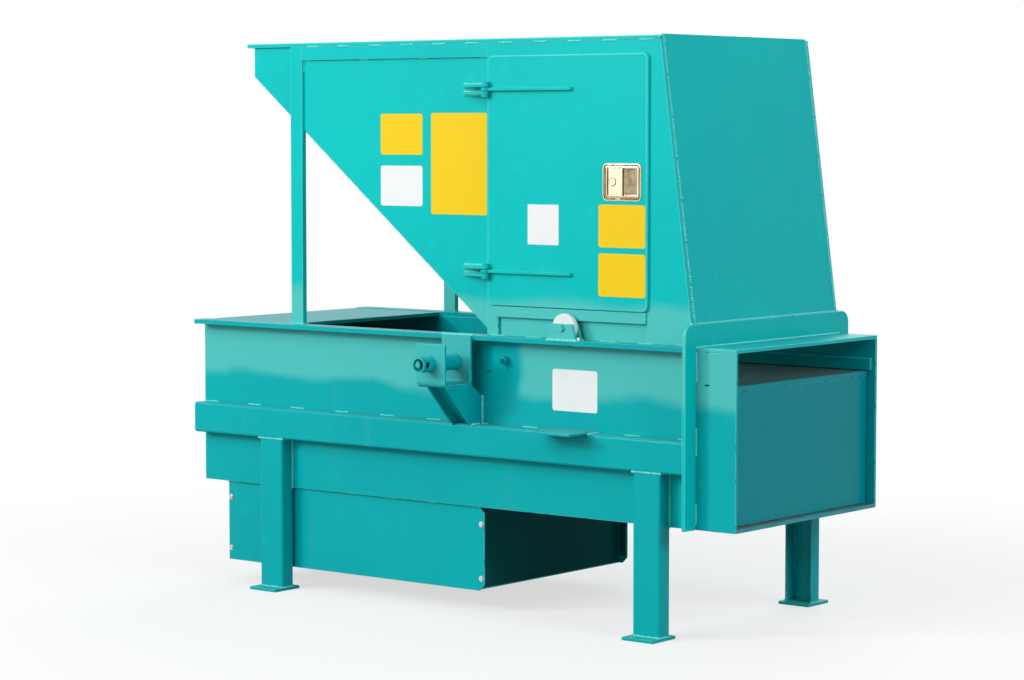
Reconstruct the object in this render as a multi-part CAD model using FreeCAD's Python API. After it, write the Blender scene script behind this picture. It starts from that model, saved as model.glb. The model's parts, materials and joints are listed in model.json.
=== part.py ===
import FreeCAD, Part
import math
import os

# Stationary trash compactor with a side-access hopper, in millimetres.
# +X is the discharge end, -Y is the access-door side, Z = 0 is the floor.
# X = 0, Y = 0 is the centre of the four floor anchor holes.

# ---- overall sizes -------------------------------------------------------
anchor_spacing_x = 1556.0      # front to rear anchor holes
anchor_to_collar = 149.0       # front anchor hole to the collar's front face
chamber_half = 396.0           # outer face of a chamber side plate
chamber_bottom_z = 344.0
chamber_top_z = 882.0
rear_length = 2060.0           # collar's front face back to the rear bulkhead
snout_length = 144.0
rim_top_z = 1829.0
hopper_set = 9.0               # hopper's frame outside the chamber's sides
ram_stroke = 900.0

# ---- plate and section sizes --------------------------------------------
side_thick = 10.0
floor_thick = 12.0
collar_thick = 12.0
collar_reach = 58.0            # collar past the chamber's sides
collar_top_z = 964.0
collar_corner = 38.0
roof_thick = 12.0
flange_thick = 15.0
flange_reach = 51.0            # flange and rail width outside the side plate
channel_height = 102.0
channel_web = 6.4
rail_bottom_z = 511.0
bulkhead_thick = 12.0
foot_thick = 10.0
foot_length = 116.0
foot_width = 120.0
foot_inner_overhang = 26.0     # foot plate past the leg's open side
anchor_hole_r = 9.0
leg_forward = 1.0              # leg's middle ahead of its anchor hole
cover_drop = 2.0               # rear cover below the flange's top
bolt_across = 19.0             # larger hex heads and nuts
bolt_head = 8.0

panel_thick = 6.0
frame_thick = 10.0
rim_thick = 13.0
rim_width = 45.0
rim_overhang = 2.0
face_thick = 8.0
chute_thick = 6.0

# hopper outline, as distances behind the collar's front face
rim_rear_back = 1840.0
lip_back = 1816.0
lip_drop = 108.0               # rim's top to the lip's bottom
mouth_back = 781.0             # rear edge of the charge opening
face_top_back = 132.0
face_rise = 4.0                # discharge face above the rim
face_knee_z = 950.0            # height at which the face meets the collar's back
post_back = 1618.0
post_width = 52.0
post_depth = 20.0
rim_bar_height = 44.0
frame_rear_back = 801.0

door_rear_back = 790.0
door_front_back = 170.0
door_bottom_z = 993.0
door_top_drop = 53.0           # rim's top to the door's top
door_corner = 18.0
door_depth = 12.0
door_skin = 4.0
door_gap = 0.3                 # door's back to the frame
door_lap = 20.0                # door past the opening, all round
sill_top_z = 991.0
sill_height = 34.0
sill_depth = 6.0
window_rear_back = 756.0
window_front_back = 179.0

hinge_insets = (107.0, 105.5)  # from the door's bottom and from its top
hinge_back = 789.0
hinge_standoff = 14.0          # pin axis in front of the door's face
hinge_plate = 9.0
hinge_space = 3.0              # strap to ear, up and down
hinge_boss_r = 12.5
hinge_pin_r = 6.0
strap_length = 334.0
ear_length = 113.0
running_gap = 0.05             # shaft in a hole, radial
loose_gap = 0.35               # sliding pipe in its holes, radial
slide_gap = 0.3                # flat sliding faces

latch_back = 262.0
latch_rise = 1.5               # above the middle of the door's height
latch_width = 144.0
latch_height = 114.0
latch_rim = 15.0
latch_lip = 3.0
latch_depth = 28.0
latch_wall = 2.0
latch_corner = 16.0
paddle_width = 54.0
paddle_thick = 4.0
paddle_gap = 1.5               # paddle's hinge knuckle to the pan's side
paddle_drop = 1.0              # paddle's face behind the door's
knuckle_r = 2.8
knuckle_pin_r = 1.3
key_r = 11.0
key_inset = 18.5               # key's axis to the paddle's hinged edge
key_length = 16.0
key_out = 2.0                  # key cylinder in front of the paddle
slit_width = 2.0
slit_length = 10.0
slit_depth = 6.0
tongue_height = 24.0
tongue_thick = 12.0
tongue_length = 66.0
tongue_reach = 6.0             # tongue past the pan's side
tongue_guide = 5.0

# ---- ram and cylinder ----------------------------------------------------
ram_nose = 118.0               # ram's face in front of the collar, at rest
ram_side_gap = 7.0
ram_top_z = 780.0
ram_plate = 10.0
ram_top_thick = 8.0
ram_face_thick = 12.0
ram_length = 950.0
ram_floor_gap = 2.0
shoe_thick = 6.0
shoe_length = 120.0
shoe_width = 90.0
nose_height = 16.0
nose_depth = 18.0
nose_lip = 3.0                 # nose bar in front of the face plate
hold_down_gap = 3.0
hold_down_height = 38.0
hold_down_thick = 13.0
wiper_thick = 10.0
wiper_gap = 5.0

barrel_r = 57.0
bore_r = 50.8
rod_r = 31.75
piston_length = 50.0
piston_gap = 0.08
gland_length = 40.0
barrel_cap = 30.0
end_room = 10.0                # piston to the barrel's ends
cylinder_z = 567.0
clevis_pin_r = 19.0
eye_half = 19.0
eye_r = 38.0
ear_thick = 14.0
pin_end = 8.0                  # clevis pin past the ears
pin_collar = 3.0
pin_collar_r = 25.0
rod_pin_back = -55.0           # rod pin in front of the collar, at rest
rear_frame_hole_r = 92.0

# ---- anchor pipes and their brackets --------------------------------------
bracket_back = 886.5
bracket_width = 117.0
bracket_reach = 136.0          # bracket outward from the flange's edge
bracket_bottom_z = 736.0
bracket_outer_z = 874.0        # top of the outer leg
bracket_plate = 10.0
bracket_corner = 22.0
pipe_r = 24.15
pipe_bore_r = 20.45
pipe_z = 811.0
pipe_out = 57.0                # pipe past the bracket
pipe_in = 22.0
pin_hole_r = 11.0
pin_hole_inset = 20.0
brace_width = 84.0
brace_plate = 8.0
brace_edge = 2.0               # gussets behind the outer leg's face
brace_wall_z = 703.0
brace_web_set = 44.0           # web behind the gussets' sloping edges

# ---- guide roller and shelf -----------------------------------------------
roller_back = 472.0
roller_z = 935.0
roller_r = 44.0
roller_width = 19.0
roller_side_gap = 1.0
roller_plate = 8.0
roller_bolt_r = 6.35
roller_base = 107.0
roller_top = 80.0
roller_plate_top_z = 948.0
slot_gap = 3.0
shelf_back = (538.0, 368.0)
shelf_reach = 149.0
shelf_thick = 8.0

# ---- power unit -----------------------------------------------------------
unit_front_back = 829.0
unit_rear_back = 1960.0
unit_half = 385.0
unit_bottom_z = 73.0
unit_sheet = 4.0
unit_corner = 20.0
unit_recess = 32.0
cover_bolt_across = 13.0
cover_bolt_head = 5.0
cover_bolt_inset = 12.0
cover_bolt_low = 40.0
cover_bolt_high = 56.0
motor_step = 355.0             # motor's middle, ahead of the tank's
motor_length = 280.0
motor_r = 92.0
motor_z = 190.0
motor_wall = 30.0
motor_foot = 74.0              # half width of the motor's base
fan_r = 78.0
fan_thick = 12.0
shaft_r = 12.0
rotor_gap = 2.0
pump_length = 110.0
pump_size = 100.0
coupling_length = 60.0
tank_step = 207.0              # tank's middle, ahead of the valve block's
tank_length = 270.0
tank_half = 200.0
tank_top_z = 320.0
tank_wall = 4.0
filler_r = 22.0
filler_height = 12.0
valve_step = 23.0              # valve block's middle, ahead of the rear port
valve_length = 80.0
valve_top_z = 250.0
coil_r = 18.0
coil_drop = 40.0               # coil's middle below the valve block's top
line_r = 8.0
line_bite = 2.0                # line into the barrel's wall
line_side = 76.0
line_drop_step = 40.0          # front line's drop, ahead of the rear port

# ---- places worked out from the sizes ---------------------------------------
collar_x = anchor_spacing_x / 2 + anchor_to_collar
rear_x = collar_x - rear_length
snout_x = collar_x + snout_length
collar_rear_x = collar_x - collar_thick
chamber_inner = chamber_half - side_thick
flange_half = chamber_half + flange_reach
flange_top_z = chamber_top_z + flange_thick
floor_top_z = chamber_bottom_z + floor_thick
rail_top_z = rail_bottom_z + channel_height
rim_bottom_z = rim_top_z - rim_thick
hopper_half = chamber_half + hopper_set
collar_half = chamber_half + collar_reach
frame_inner = hopper_half - frame_thick
panel_inner = frame_inner - panel_thick
door_out = hopper_half + door_gap + door_depth
lip_bottom_z = rim_top_z - lip_drop
face_top_z = rim_top_z + face_rise
door_top_z = rim_top_z - door_top_drop
hinge_heights = (door_bottom_z + hinge_insets[0], door_top_z - hinge_insets[1])
latch_z = (door_bottom_z + door_top_z) / 2 + latch_rise
hinge_y = -(door_out + hinge_standoff)
anchor_y = flange_half + (foot_width - foot_inner_overhang - flange_reach) / 2
face_slope = (face_top_back - collar_thick) / (face_top_z - face_knee_z)
unit_inner = unit_half - unit_sheet


def back(distance):
    return collar_x - distance


def box(x, y, z):
    corner = FreeCAD.Vector(min(x), min(y), min(z))
    return Part.makeBox(max(x) - min(x), max(y) - min(y), max(z) - min(z), corner)


def prism(points, axis, span):
    # A flat outline carried along one axis: "x" takes (y, z) points, "y" (x, z), "z" (x, y).
    low, high = min(span), max(span)
    places = {
        "x": lambda a, b: FreeCAD.Vector(low, a, b),
        "y": lambda a, b: FreeCAD.Vector(a, low, b),
        "z": lambda a, b: FreeCAD.Vector(a, b, low),
    }
    ways = {"x": (high - low, 0, 0), "y": (0, high - low, 0), "z": (0, 0, high - low)}
    corners = [places[axis](*point) for point in points]
    wire = Part.makePolygon(corners + corners[:1])
    return Part.Face(wire).extrude(FreeCAD.Vector(*ways[axis]))


def rod(radius, axis, span, centre):
    # A cylinder along one axis; centre holds the other two coordinates in order.
    low, high = min(span), max(span)
    starts = {
        "x": (FreeCAD.Vector(low, *centre), FreeCAD.Vector(1, 0, 0)),
        "y": (FreeCAD.Vector(centre[0], low, centre[1]), FreeCAD.Vector(0, 1, 0)),
        "z": (FreeCAD.Vector(*centre, low), FreeCAD.Vector(0, 0, 1)),
    }
    start, way = starts[axis]
    return Part.makeCylinder(radius, high - low, start, way)


def hexagon(across, axis, span, centre):
    radius = across / math.sqrt(3)
    points = []
    for corner in range(6):
        angle = math.radians(60 * corner)
        points.append((centre[0] + radius * math.cos(angle), centre[1] + radius * math.sin(angle)))
    return prism(points, axis, span)


def rounded_plate(a, b, radius, axis, span):
    # A rectangle with round corners, carried along an axis.
    plain = {"x": lambda: box(span, a, b), "y": lambda: box(a, span, b), "z": lambda: box(a, b, span)}
    shape = plain[axis]()
    edges = []
    for edge in shape.Edges:
        way = edge.Vertexes[1].Point - edge.Vertexes[0].Point
        if abs(getattr(way, axis)) > 1e-6:
            edges.append(edge)
    return shape.makeFillet(radius, edges)


def far(shape):
    # The same piece on the far side of the machine.
    return shape.mirror(FreeCAD.Vector(0, 0, 0), FreeCAD.Vector(0, 1, 0))


def both(shape):
    return Part.makeCompound([shape, far(shape)])


def face_x(z):
    # The discharge face's outer surface at a height; it stops at the collar's back.
    return min(back(face_top_back) + (face_top_z - z) * face_slope, collar_rear_x)


def save(name, shape):
    shape.exportStep(os.path.join("parts", name + ".step"))


# ---- chamber ------------------------------------------------------------------
def chamber_side():
    return box((rear_x, snout_x), (-chamber_half, -chamber_inner), (chamber_bottom_z, chamber_top_z))


def chamber_floor():
    plate = box((rear_x, snout_x), (-chamber_inner, chamber_inner), (chamber_bottom_z, floor_top_z))
    for place in ((rear_port_x, 0.0), (line_drop_x, line_side)):
        hole = rod(line_r + slot_gap, "z", (chamber_bottom_z - 1, floor_top_z + 1), place)
        plate = plate.cut(hole)
    return plate


def top_flange(slotted):
    bar = box((rear_x, collar_rear_x), (-flange_half, -chamber_inner), (chamber_top_z, flange_top_z))
    if slotted:
        drop = roller_z - flange_top_z
        half = math.sqrt(roller_r**2 - drop**2) + slot_gap
        middle = flange_half - roller_plate - roller_side_gap - roller_width / 2
        reach = roller_width / 2 + roller_side_gap
        x = back(roller_back)
        slot = box((x - half, x + half), (-middle - reach, -middle + reach), (chamber_top_z, flange_top_z))
        bar = bar.cut(slot)
    return bar


def side_rail():
    whole = box((rear_x, collar_rear_x), (-flange_half, -chamber_half), (rail_bottom_z, rail_top_z))
    hollow = box(
        (rear_x, collar_rear_x),
        (-flange_half + channel_web, -chamber_half),
        (rail_bottom_z + channel_web, rail_top_z - channel_web),
    )
    return whole.cut(hollow)


def discharge_collar():
    span = (collar_rear_x, collar_x)
    top = collar_top_z - collar_corner
    plate = box(span, (-collar_half, collar_half), (chamber_bottom_z, top))
    shoulder = collar_half - collar_corner
    plate = plate.fuse(box(span, (-shoulder, shoulder), (top, collar_top_z)))
    for side in (-1, 1):
        plate = plate.fuse(rod(collar_corner, "x", span, (side * shoulder, top)))
    throat = box(span, (-chamber_half, chamber_half), (chamber_bottom_z, chamber_top_z + roof_thick))
    return plate.cut(throat).removeSplitter()


def snout_roof():
    return box(
        (collar_rear_x, snout_x), (-chamber_half, chamber_half), (chamber_top_z, chamber_top_z + roof_thick)
    )


def hold_down_bar():
    low = ram_top_z + hold_down_gap
    return box(
        (rear_x + bulkhead_thick, snout_x - collar_thick),
        (-chamber_inner, -chamber_inner + hold_down_thick),
        (low, low + hold_down_height),
    )


def wiper_plate():
    x = back(mouth_back)
    plate = box((x - wiper_thick, x), (-chamber_inner, chamber_inner), (ram_top_z + wiper_gap, flange_top_z))
    return plate.cut(both(hold_down_bar()))


def rear_bulkhead():
    return box(
        (rear_x, rear_x + bulkhead_thick), (-chamber_inner, chamber_inner), (floor_top_z, chamber_top_z)
    )


def rear_cover():
    front = back(post_back + post_width / 2 + rim_width / 2)
    return box((rear_x, front), (-chamber_inner, chamber_inner), (chamber_top_z, flange_top_z - cover_drop))


def leg(anchor_x):
    middle = anchor_x + leg_forward
    x = (middle - channel_height / 2, middle + channel_height / 2)
    whole = box(x, (-flange_half, -chamber_half), (foot_thick, rail_bottom_z))
    hollow = box(
        (x[0] + channel_web, x[1] - channel_web),
        (-flange_half + channel_web, -chamber_half),
        (foot_thick, rail_bottom_z),
    )
    return whole.cut(hollow)


def foot(anchor_x):
    x = (anchor_x - foot_length / 2, anchor_x + foot_length / 2)
    inner = -chamber_half + foot_inner_overhang
    plate = box(x, (inner - foot_width, inner), (0, foot_thick))
    return plate.cut(rod(anchor_hole_r, "z", (-1, foot_thick + 1), (anchor_x, -anchor_y)))


# ---- hopper ---------------------------------------------------------------------
def side_outline(rear, bottom):
    # Outline in (x, z): rear edge, discharge slope and the top under the rim.
    return [
        (rear, bottom),
        (collar_rear_x, bottom),
        (collar_rear_x, face_knee_z),
        (face_x(rim_bottom_z), rim_bottom_z),
        (rear, rim_bottom_z),
    ]


def door_opening(y):
    x = (back(door_rear_back - door_lap), back(door_front_back + door_lap))
    return rounded_plate(x, (door_bottom_z + door_lap, door_top_z - door_lap), door_corner, "y", y)


def hopper_side(with_door):
    y = (-frame_inner, -panel_inner)
    points = [(back(lip_back), rim_bottom_z), (back(lip_back), lip_bottom_z)]
    points += [(back(mouth_back), flange_top_z)]
    points += side_outline(back(mouth_back), flange_top_z)[1:4]
    panel = prism(points, "y", y)
    x = (back(post_back + post_width / 2), back(post_back - post_width / 2))
    panel = panel.cut(box(x, y, (flange_top_z, rim_bottom_z)))
    if with_door:
        panel = panel.cut(door_opening(y))
    return panel


def door_frame_plate():
    y = (-hopper_half, -frame_inner)
    plate = prism(side_outline(back(frame_rear_back), flange_top_z), "y", y)
    window = box(
        (back(window_rear_back), back(window_front_back)), y, (flange_top_z, sill_top_z - sill_height)
    )
    return plate.cut(window).cut(door_opening(y))


def door_sill():
    return box(
        (back(window_rear_back) - frame_thick, back(window_front_back)),
        (-hopper_half - sill_depth, -hopper_half),
        (sill_top_z - sill_height, sill_top_z),
    )


def rim_bar(front_x):
    return box(
        (back(post_back - post_width / 2), front_x),
        (-hopper_half, -frame_inner),
        (rim_bottom_z - rim_bar_height, rim_bottom_z),
    )


def far_frame():
    # On the closed side a flat bar runs under the rim and down the discharge edge.
    width = post_width
    down = [
        (collar_rear_x - width, flange_top_z),
        (collar_rear_x, flange_top_z),
        (collar_rear_x, face_knee_z),
        (face_x(rim_bottom_z), rim_bottom_z),
        (face_x(rim_bottom_z) - width, rim_bottom_z),
        (collar_rear_x - width, face_knee_z),
    ]
    bars = prism(down, "y", (-hopper_half, -frame_inner)).fuse(rim_bar(face_x(rim_bottom_z) - width / 2))
    return far(bars.removeSplitter())


def hopper_post():
    x = (back(post_back + post_width / 2), back(post_back - post_width / 2))
    return box(x, (-hopper_half, -hopper_half + post_depth), (flange_top_z, rim_bottom_z))


def chute_floor():
    # Sloping floor and upright lip in one bent plate between the side panels.
    rise = lip_bottom_z - flange_top_z
    run = lip_back - mouth_back
    length = math.hypot(rise, run)
    lift = chute_thick * length / run
    joint = chute_thick * (length - run) / rise
    points = [
        (back(mouth_back), flange_top_z),
        (back(mouth_back), flange_top_z + lift),
        (back(lip_back) + chute_thick, lip_bottom_z + joint),
        (back(lip_back) + chute_thick, rim_bottom_z),
        (back(lip_back), rim_bottom_z),
        (back(lip_back), lip_bottom_z),
    ]
    # The posts stand through the panels, so the plate is notched round them.
    plate = prism(points, "y", (-panel_inner, panel_inner))
    return plate.cut(both(hopper_post()))


def hopper_face():
    points = [
        (collar_rear_x - face_thick, flange_top_z),
        (collar_rear_x, flange_top_z),
        (collar_rear_x, face_knee_z),
        (back(face_top_back), face_top_z),
        (back(face_top_back) - face_thick, face_top_z),
        (collar_rear_x - face_thick, face_knee_z),
    ]
    return prism(points, "y", (-panel_inner, panel_inner))


def hopper_rim():
    front = back(face_top_back) - face_thick - running_gap
    outer = hopper_half + rim_overhang
    ring = box((back(rim_rear_back), front), (-outer, outer), (rim_bottom_z, rim_top_z))
    hole = box(
        (back(rim_rear_back) + rim_width + rim_rear_back - lip_back, front - rim_width),
        (-outer + rim_width, outer - rim_width),
        (rim_bottom_z, rim_top_z),
    )
    ring = ring.cut(hole)
    for side in (-1, 1):
        # Each side bar runs on past the discharge face's edge to its front.
        y = (side * panel_inner, side * outer)
        ring = ring.fuse(box((front, back(face_top_back)), y, (rim_bottom_z, rim_top_z)))
    return ring.removeSplitter()


# ---- access door -----------------------------------------------------------------
def door_panel():
    y = (-door_out, -hopper_half - door_gap)
    x = (back(door_rear_back), back(door_front_back))
    z = (door_bottom_z, door_top_z)
    shell = rounded_plate(x, z, door_corner, "y", y)
    pocket = rounded_plate(
        (x[0] + door_skin, x[1] - door_skin),
        (z[0] + door_skin, z[1] - door_skin),
        door_corner - door_skin,
        "y",
        (y[0] + door_skin, y[1]),
    )
    half = latch_width / 2 - latch_rim + latch_wall
    tall = latch_height / 2 - latch_rim + latch_wall
    middle = back(latch_back)
    hole = box((middle - half, middle + half), y, (latch_z - tall, latch_z + tall))
    return shell.cut(pocket).cut(hole)


def hinge_strap(z):
    x = back(hinge_back)
    span = (z - hinge_plate / 2, z + hinge_plate / 2)
    bar = box((x, x + strap_length), (hinge_y, -door_out), span)
    boss = rod(hinge_boss_r, "z", span, (x, hinge_y))
    hole = rod(hinge_pin_r + running_gap, "z", span, (x, hinge_y))
    return bar.fuse(boss).cut(hole).removeSplitter()


def hinge_ear(z):
    x = back(hinge_back)
    span = (z - hinge_plate / 2, z + hinge_plate / 2)
    points = [
        (x - ear_length, -frame_inner),
        (x - ear_length, -frame_inner - frame_thick),
        (x - ear_length / 3, hinge_y - hinge_boss_r),
        (x, hinge_y - hinge_boss_r),
        (x, -frame_inner),
    ]
    ear = prism(points, "z", span).fuse(rod(hinge_boss_r, "z", span, (x, hinge_y)))
    ear = ear.cut(box((back(frame_rear_back), x + ear_length), (-hopper_half, 0), span))
    door_room = (-door_out - door_gap, 0)
    ear = ear.cut(box((back(door_rear_back) - hinge_space, x + ear_length), door_room, span))
    return ear.cut(rod(hinge_pin_r + running_gap, "z", span, (x, hinge_y))).removeSplitter()


def hinge_pin(z):
    centre = (back(hinge_back), hinge_y)
    reach = 1.5 * hinge_plate + hinge_space
    shank = rod(hinge_pin_r, "z", (z - reach - bolt_head, z + reach), centre)
    nut = hexagon(bolt_across, "z", (z - reach - bolt_head, z - reach), centre)
    return shank.fuse(nut).fuse(hexagon(bolt_across, "z", (z + reach, z + reach + bolt_head), centre))


def hinge_rises():
    return [z + way * (hinge_plate + hinge_space) for z in hinge_heights for way in (-1, 1)]


def latch_pan():
    middle = back(latch_back)
    half, tall = latch_width / 2, latch_height / 2
    inner, low = half - latch_rim, tall - latch_rim
    front = -door_out
    lip = rounded_plate(
        (middle - half, middle + half),
        (latch_z - tall, latch_z + tall),
        latch_corner,
        "y",
        (front - latch_lip, front),
    )
    deep = front + latch_depth
    walls = box(
        (middle - inner - latch_wall, middle + inner + latch_wall),
        (front, deep),
        (latch_z - low - latch_wall, latch_z + low + latch_wall),
    )
    span = (front - latch_lip, deep - latch_wall)
    hollow = box((middle - inner, middle + inner), span, (latch_z - low, latch_z + low))
    edge, face = paddle_place()
    reach = low + latch_wall / 2
    pin = rod(knuckle_pin_r, "z", (latch_z - reach, latch_z + reach), (edge + knuckle_r, face + knuckle_r))
    grip = tongue_height / 2 + slide_gap
    guide = box(
        (middle + inner + latch_wall - tongue_length + tongue_reach, middle + inner + latch_wall),
        (deep, deep + tongue_thick + 2 * slide_gap + tongue_guide),
        (latch_z - grip - tongue_guide, latch_z + grip + tongue_guide),
    )
    way = box(
        (middle - inner, middle + half),
        (deep, deep + tongue_thick + 2 * slide_gap),
        (latch_z - grip, latch_z + grip),
    )
    return lip.fuse(walls).cut(hollow).fuse(pin).fuse(guide.cut(way)).removeSplitter()


def latch_tongue():
    middle = back(latch_back)
    end = middle + latch_width / 2 - latch_rim + latch_wall + tongue_reach
    deep = -door_out + latch_depth + slide_gap
    return box(
        (end - tongue_length - 2 * tongue_reach, end),
        (deep, deep + tongue_thick),
        (latch_z - tongue_height / 2, latch_z + tongue_height / 2),
    )


def paddle_place():
    # Left edge of the paddle's hinge knuckle, and the paddle's outer face.
    return back(latch_back) - latch_width / 2 + latch_rim + paddle_gap, -door_out + paddle_drop


def latch_paddle():
    edge, face = paddle_place()
    tall = latch_height / 2 - latch_rim - slide_gap
    z = (latch_z - tall, latch_z + tall)
    pivot = (edge + knuckle_r, face + knuckle_r)
    plate = box((pivot[0], edge + paddle_width), (face, face + paddle_thick), z)
    plate = plate.fuse(rod(knuckle_r, "z", z, pivot)).cut(rod(knuckle_pin_r + running_gap, "z", z, pivot))
    middle = (edge + key_inset, latch_z)
    return plate.cut(rod(key_r + running_gap, "y", (face, face + paddle_thick), middle)).removeSplitter()


def key_cylinder():
    edge, face = paddle_place()
    middle = edge + key_inset
    front = face - key_out
    plug = rod(key_r, "y", (front, front + key_length), (middle, latch_z))
    slit = box(
        (middle - slit_width / 2, middle + slit_width / 2),
        (front, front + slit_depth),
        (latch_z - slit_length / 2, latch_z + slit_length / 2),
    )
    return plug.cut(slit)


# ---- ram -------------------------------------------------------------------------
ram_half = chamber_inner - ram_side_gap
ram_front_x = collar_x + ram_nose
ram_back_x = ram_front_x - ram_length
ram_low_z = floor_top_z + slide_gap + shoe_thick
ram_face_rear_x = ram_front_x - ram_face_thick - nose_lip
rod_pin_x = back(rod_pin_back)


def ram_face_plate():
    low = floor_top_z + ram_floor_gap
    z = (ram_top_z - nose_height, ram_top_z)
    nose = box((ram_front_x - nose_depth, ram_front_x), (-ram_half, ram_half), z)
    top_edges = []
    for edge in nose.Edges:
        centre = edge.CenterOfMass
        if abs(centre.x - ram_front_x) < 1e-6 and abs(centre.z - ram_top_z) < 1e-6:
            top_edges.append(edge)
    nose = nose.makeFillet(nose_height / 3, top_edges)
    plate = box(
        (ram_face_rear_x, ram_front_x - nose_lip), (-ram_half, ram_half), (low, ram_top_z - nose_height)
    )
    return plate.fuse(nose).removeSplitter()


def ram_top_plate():
    return box(
        (ram_back_x, ram_front_x - nose_depth), (-ram_half, ram_half), (ram_top_z - ram_top_thick, ram_top_z)
    )


def ram_side():
    return box(
        (ram_back_x + ram_plate, ram_face_rear_x),
        (-ram_half, -ram_half + ram_plate),
        (ram_low_z, ram_top_z - nose_height),
    ).fuse(
        box(
            (ram_back_x + ram_plate, ram_front_x - nose_depth),
            (-ram_half, -ram_half + ram_plate),
            (ram_top_z - nose_height, ram_top_z - ram_top_thick),
        )
    ).removeSplitter()


def ram_bottom_plate():
    inner = ram_half - ram_plate
    z = (ram_low_z, ram_low_z + ram_plate)
    return box((ram_back_x + ram_plate, ram_face_rear_x), (-inner, inner), z)


def ram_rear_frame():
    x = (ram_back_x, ram_back_x + ram_plate)
    plate = box(x, (-ram_half, ram_half), (ram_low_z, ram_top_z - ram_top_thick))
    return plate.cut(rod(rear_frame_hole_r, "x", x, (0.0, cylinder_z)))


def ram_shoes():
    pads = []
    for x in (ram_back_x + 2 * ram_plate, ram_face_rear_x - shoe_length - ram_plate):
        for side in (-1, 1):
            y = (side * (ram_half - shoe_width), side * ram_half)
            under = box((x, x + shoe_length), y, (floor_top_z + slide_gap, ram_low_z))
            y = (side * ram_half, side * (chamber_inner - slide_gap))
            flank = box((x, x + shoe_length), y, (ram_low_z + shoe_width, ram_low_z + 2 * shoe_width))
            pads += [under, flank]
    return Part.makeCompound(pads)


def clevis_ears(wall_x, pin_x):
    # Two ears on a wall, with a bore for the clevis pin.
    ears = []
    for side in (-1, 1):
        y = (side * (eye_half + slide_gap), side * (eye_half + slide_gap + ear_thick))
        plate = box((wall_x, pin_x), y, (cylinder_z - eye_r, cylinder_z + eye_r))
        plate = plate.fuse(rod(eye_r, "y", y, (pin_x, cylinder_z)))
        ears.append(plate.cut(rod(clevis_pin_r + running_gap, "y", y, (pin_x, cylinder_z))).removeSplitter())
    return Part.makeCompound(ears)


def clevis_pin(pin_x):
    reach = eye_half + slide_gap + ear_thick
    shank = rod(clevis_pin_r, "y", (-reach - pin_end, reach + pin_end), (pin_x, cylinder_z))
    for side in (-1, 1):
        y = (side * (reach + slide_gap), side * (reach + slide_gap + pin_collar))
        shank = shank.fuse(rod(pin_collar_r, "y", y, (pin_x, cylinder_z)))
    return shank


barrel_front_x = back(905.0)
barrel_inner_length = ram_stroke + piston_length + 2 * end_room
barrel_rear_x = barrel_front_x - gland_length - barrel_inner_length - barrel_cap
piston_front_x = barrel_front_x - gland_length - end_room
rear_pin_x = barrel_rear_x - eye_r - slide_gap
rear_port_x = barrel_rear_x + barrel_cap / 2
line_drop_x = rear_port_x + line_drop_step


def cylinder_barrel():
    centre = (0.0, cylinder_z)
    body = rod(barrel_r, "x", (barrel_rear_x, barrel_front_x), centre)
    hollow = rod(bore_r, "x", (barrel_rear_x + barrel_cap, barrel_front_x - gland_length), centre)
    body = body.cut(hollow)
    body = body.cut(rod(rod_r + running_gap, "x", (barrel_front_x - gland_length, barrel_front_x), centre))
    eye = rod(eye_r, "y", (-eye_half, eye_half), (rear_pin_x, cylinder_z))
    z = (cylinder_z - eye_r, cylinder_z + eye_r)
    eye = eye.fuse(box((rear_pin_x, barrel_rear_x), (-eye_half, eye_half), z))
    eye = eye.cut(rod(clevis_pin_r + running_gap, "y", (-eye_half, eye_half), (rear_pin_x, cylinder_z)))
    return body.fuse(eye).removeSplitter()


def piston_rod():
    centre = (0.0, cylinder_z)
    piston = rod(bore_r - piston_gap, "x", (piston_front_x - piston_length, piston_front_x), centre)
    shaft = rod(rod_r, "x", (piston_front_x, rod_pin_x - eye_r), centre)
    eye = rod(eye_r, "y", (-eye_half, eye_half), (rod_pin_x, cylinder_z))
    z = (cylinder_z - rod_r, cylinder_z + rod_r)
    neck = box((rod_pin_x - eye_r, rod_pin_x), (-eye_half, eye_half), z)
    eye = eye.fuse(neck).cut(
        rod(clevis_pin_r + running_gap, "y", (-eye_half, eye_half), (rod_pin_x, cylinder_z))
    )
    return piston.fuse(shaft).fuse(eye).removeSplitter()


# ---- anchor pipe, roller and shelf ---------------------------------------------------
def bend(shape, low, radius):
    # Rounds the two bottom edges that run along X.
    edges = []
    for edge in shape.Edges:
        way = edge.Vertexes[1].Point - edge.Vertexes[0].Point
        if abs(way.x) > 1e-6 and abs(edge.CenterOfMass.z - low) < 1e-6:
            edges.append(edge)
    return shape.makeFillet(radius, edges)


bracket_x = (back(bracket_back) - bracket_width / 2, back(bracket_back) + bracket_width / 2)


def bracket_block():
    # The bracket's outside, solid.
    block = box(bracket_x, (-flange_half - bracket_reach, -flange_half), (bracket_bottom_z, flange_top_z))
    return bend(block, bracket_bottom_z, bracket_corner)


def pipe_bracket():
    # A bent plate: the inner leg laps the flange's edge, and the outer leg stops lower.
    x = bracket_x
    y = (-flange_half - bracket_reach, -flange_half)
    inside = (y[0] + bracket_plate, y[1] - bracket_plate)
    low = bracket_bottom_z + bracket_plate
    inner = bend(box(x, inside, (low, flange_top_z)), low, bracket_corner - bracket_plate)
    above = box(x, (y[0], inside[0]), (bracket_outer_z, flange_top_z))
    holes = rod(pipe_r + loose_gap, "y", y, (back(bracket_back), pipe_z))
    return bracket_block().cut(inner).cut(above).cut(holes)


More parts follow.
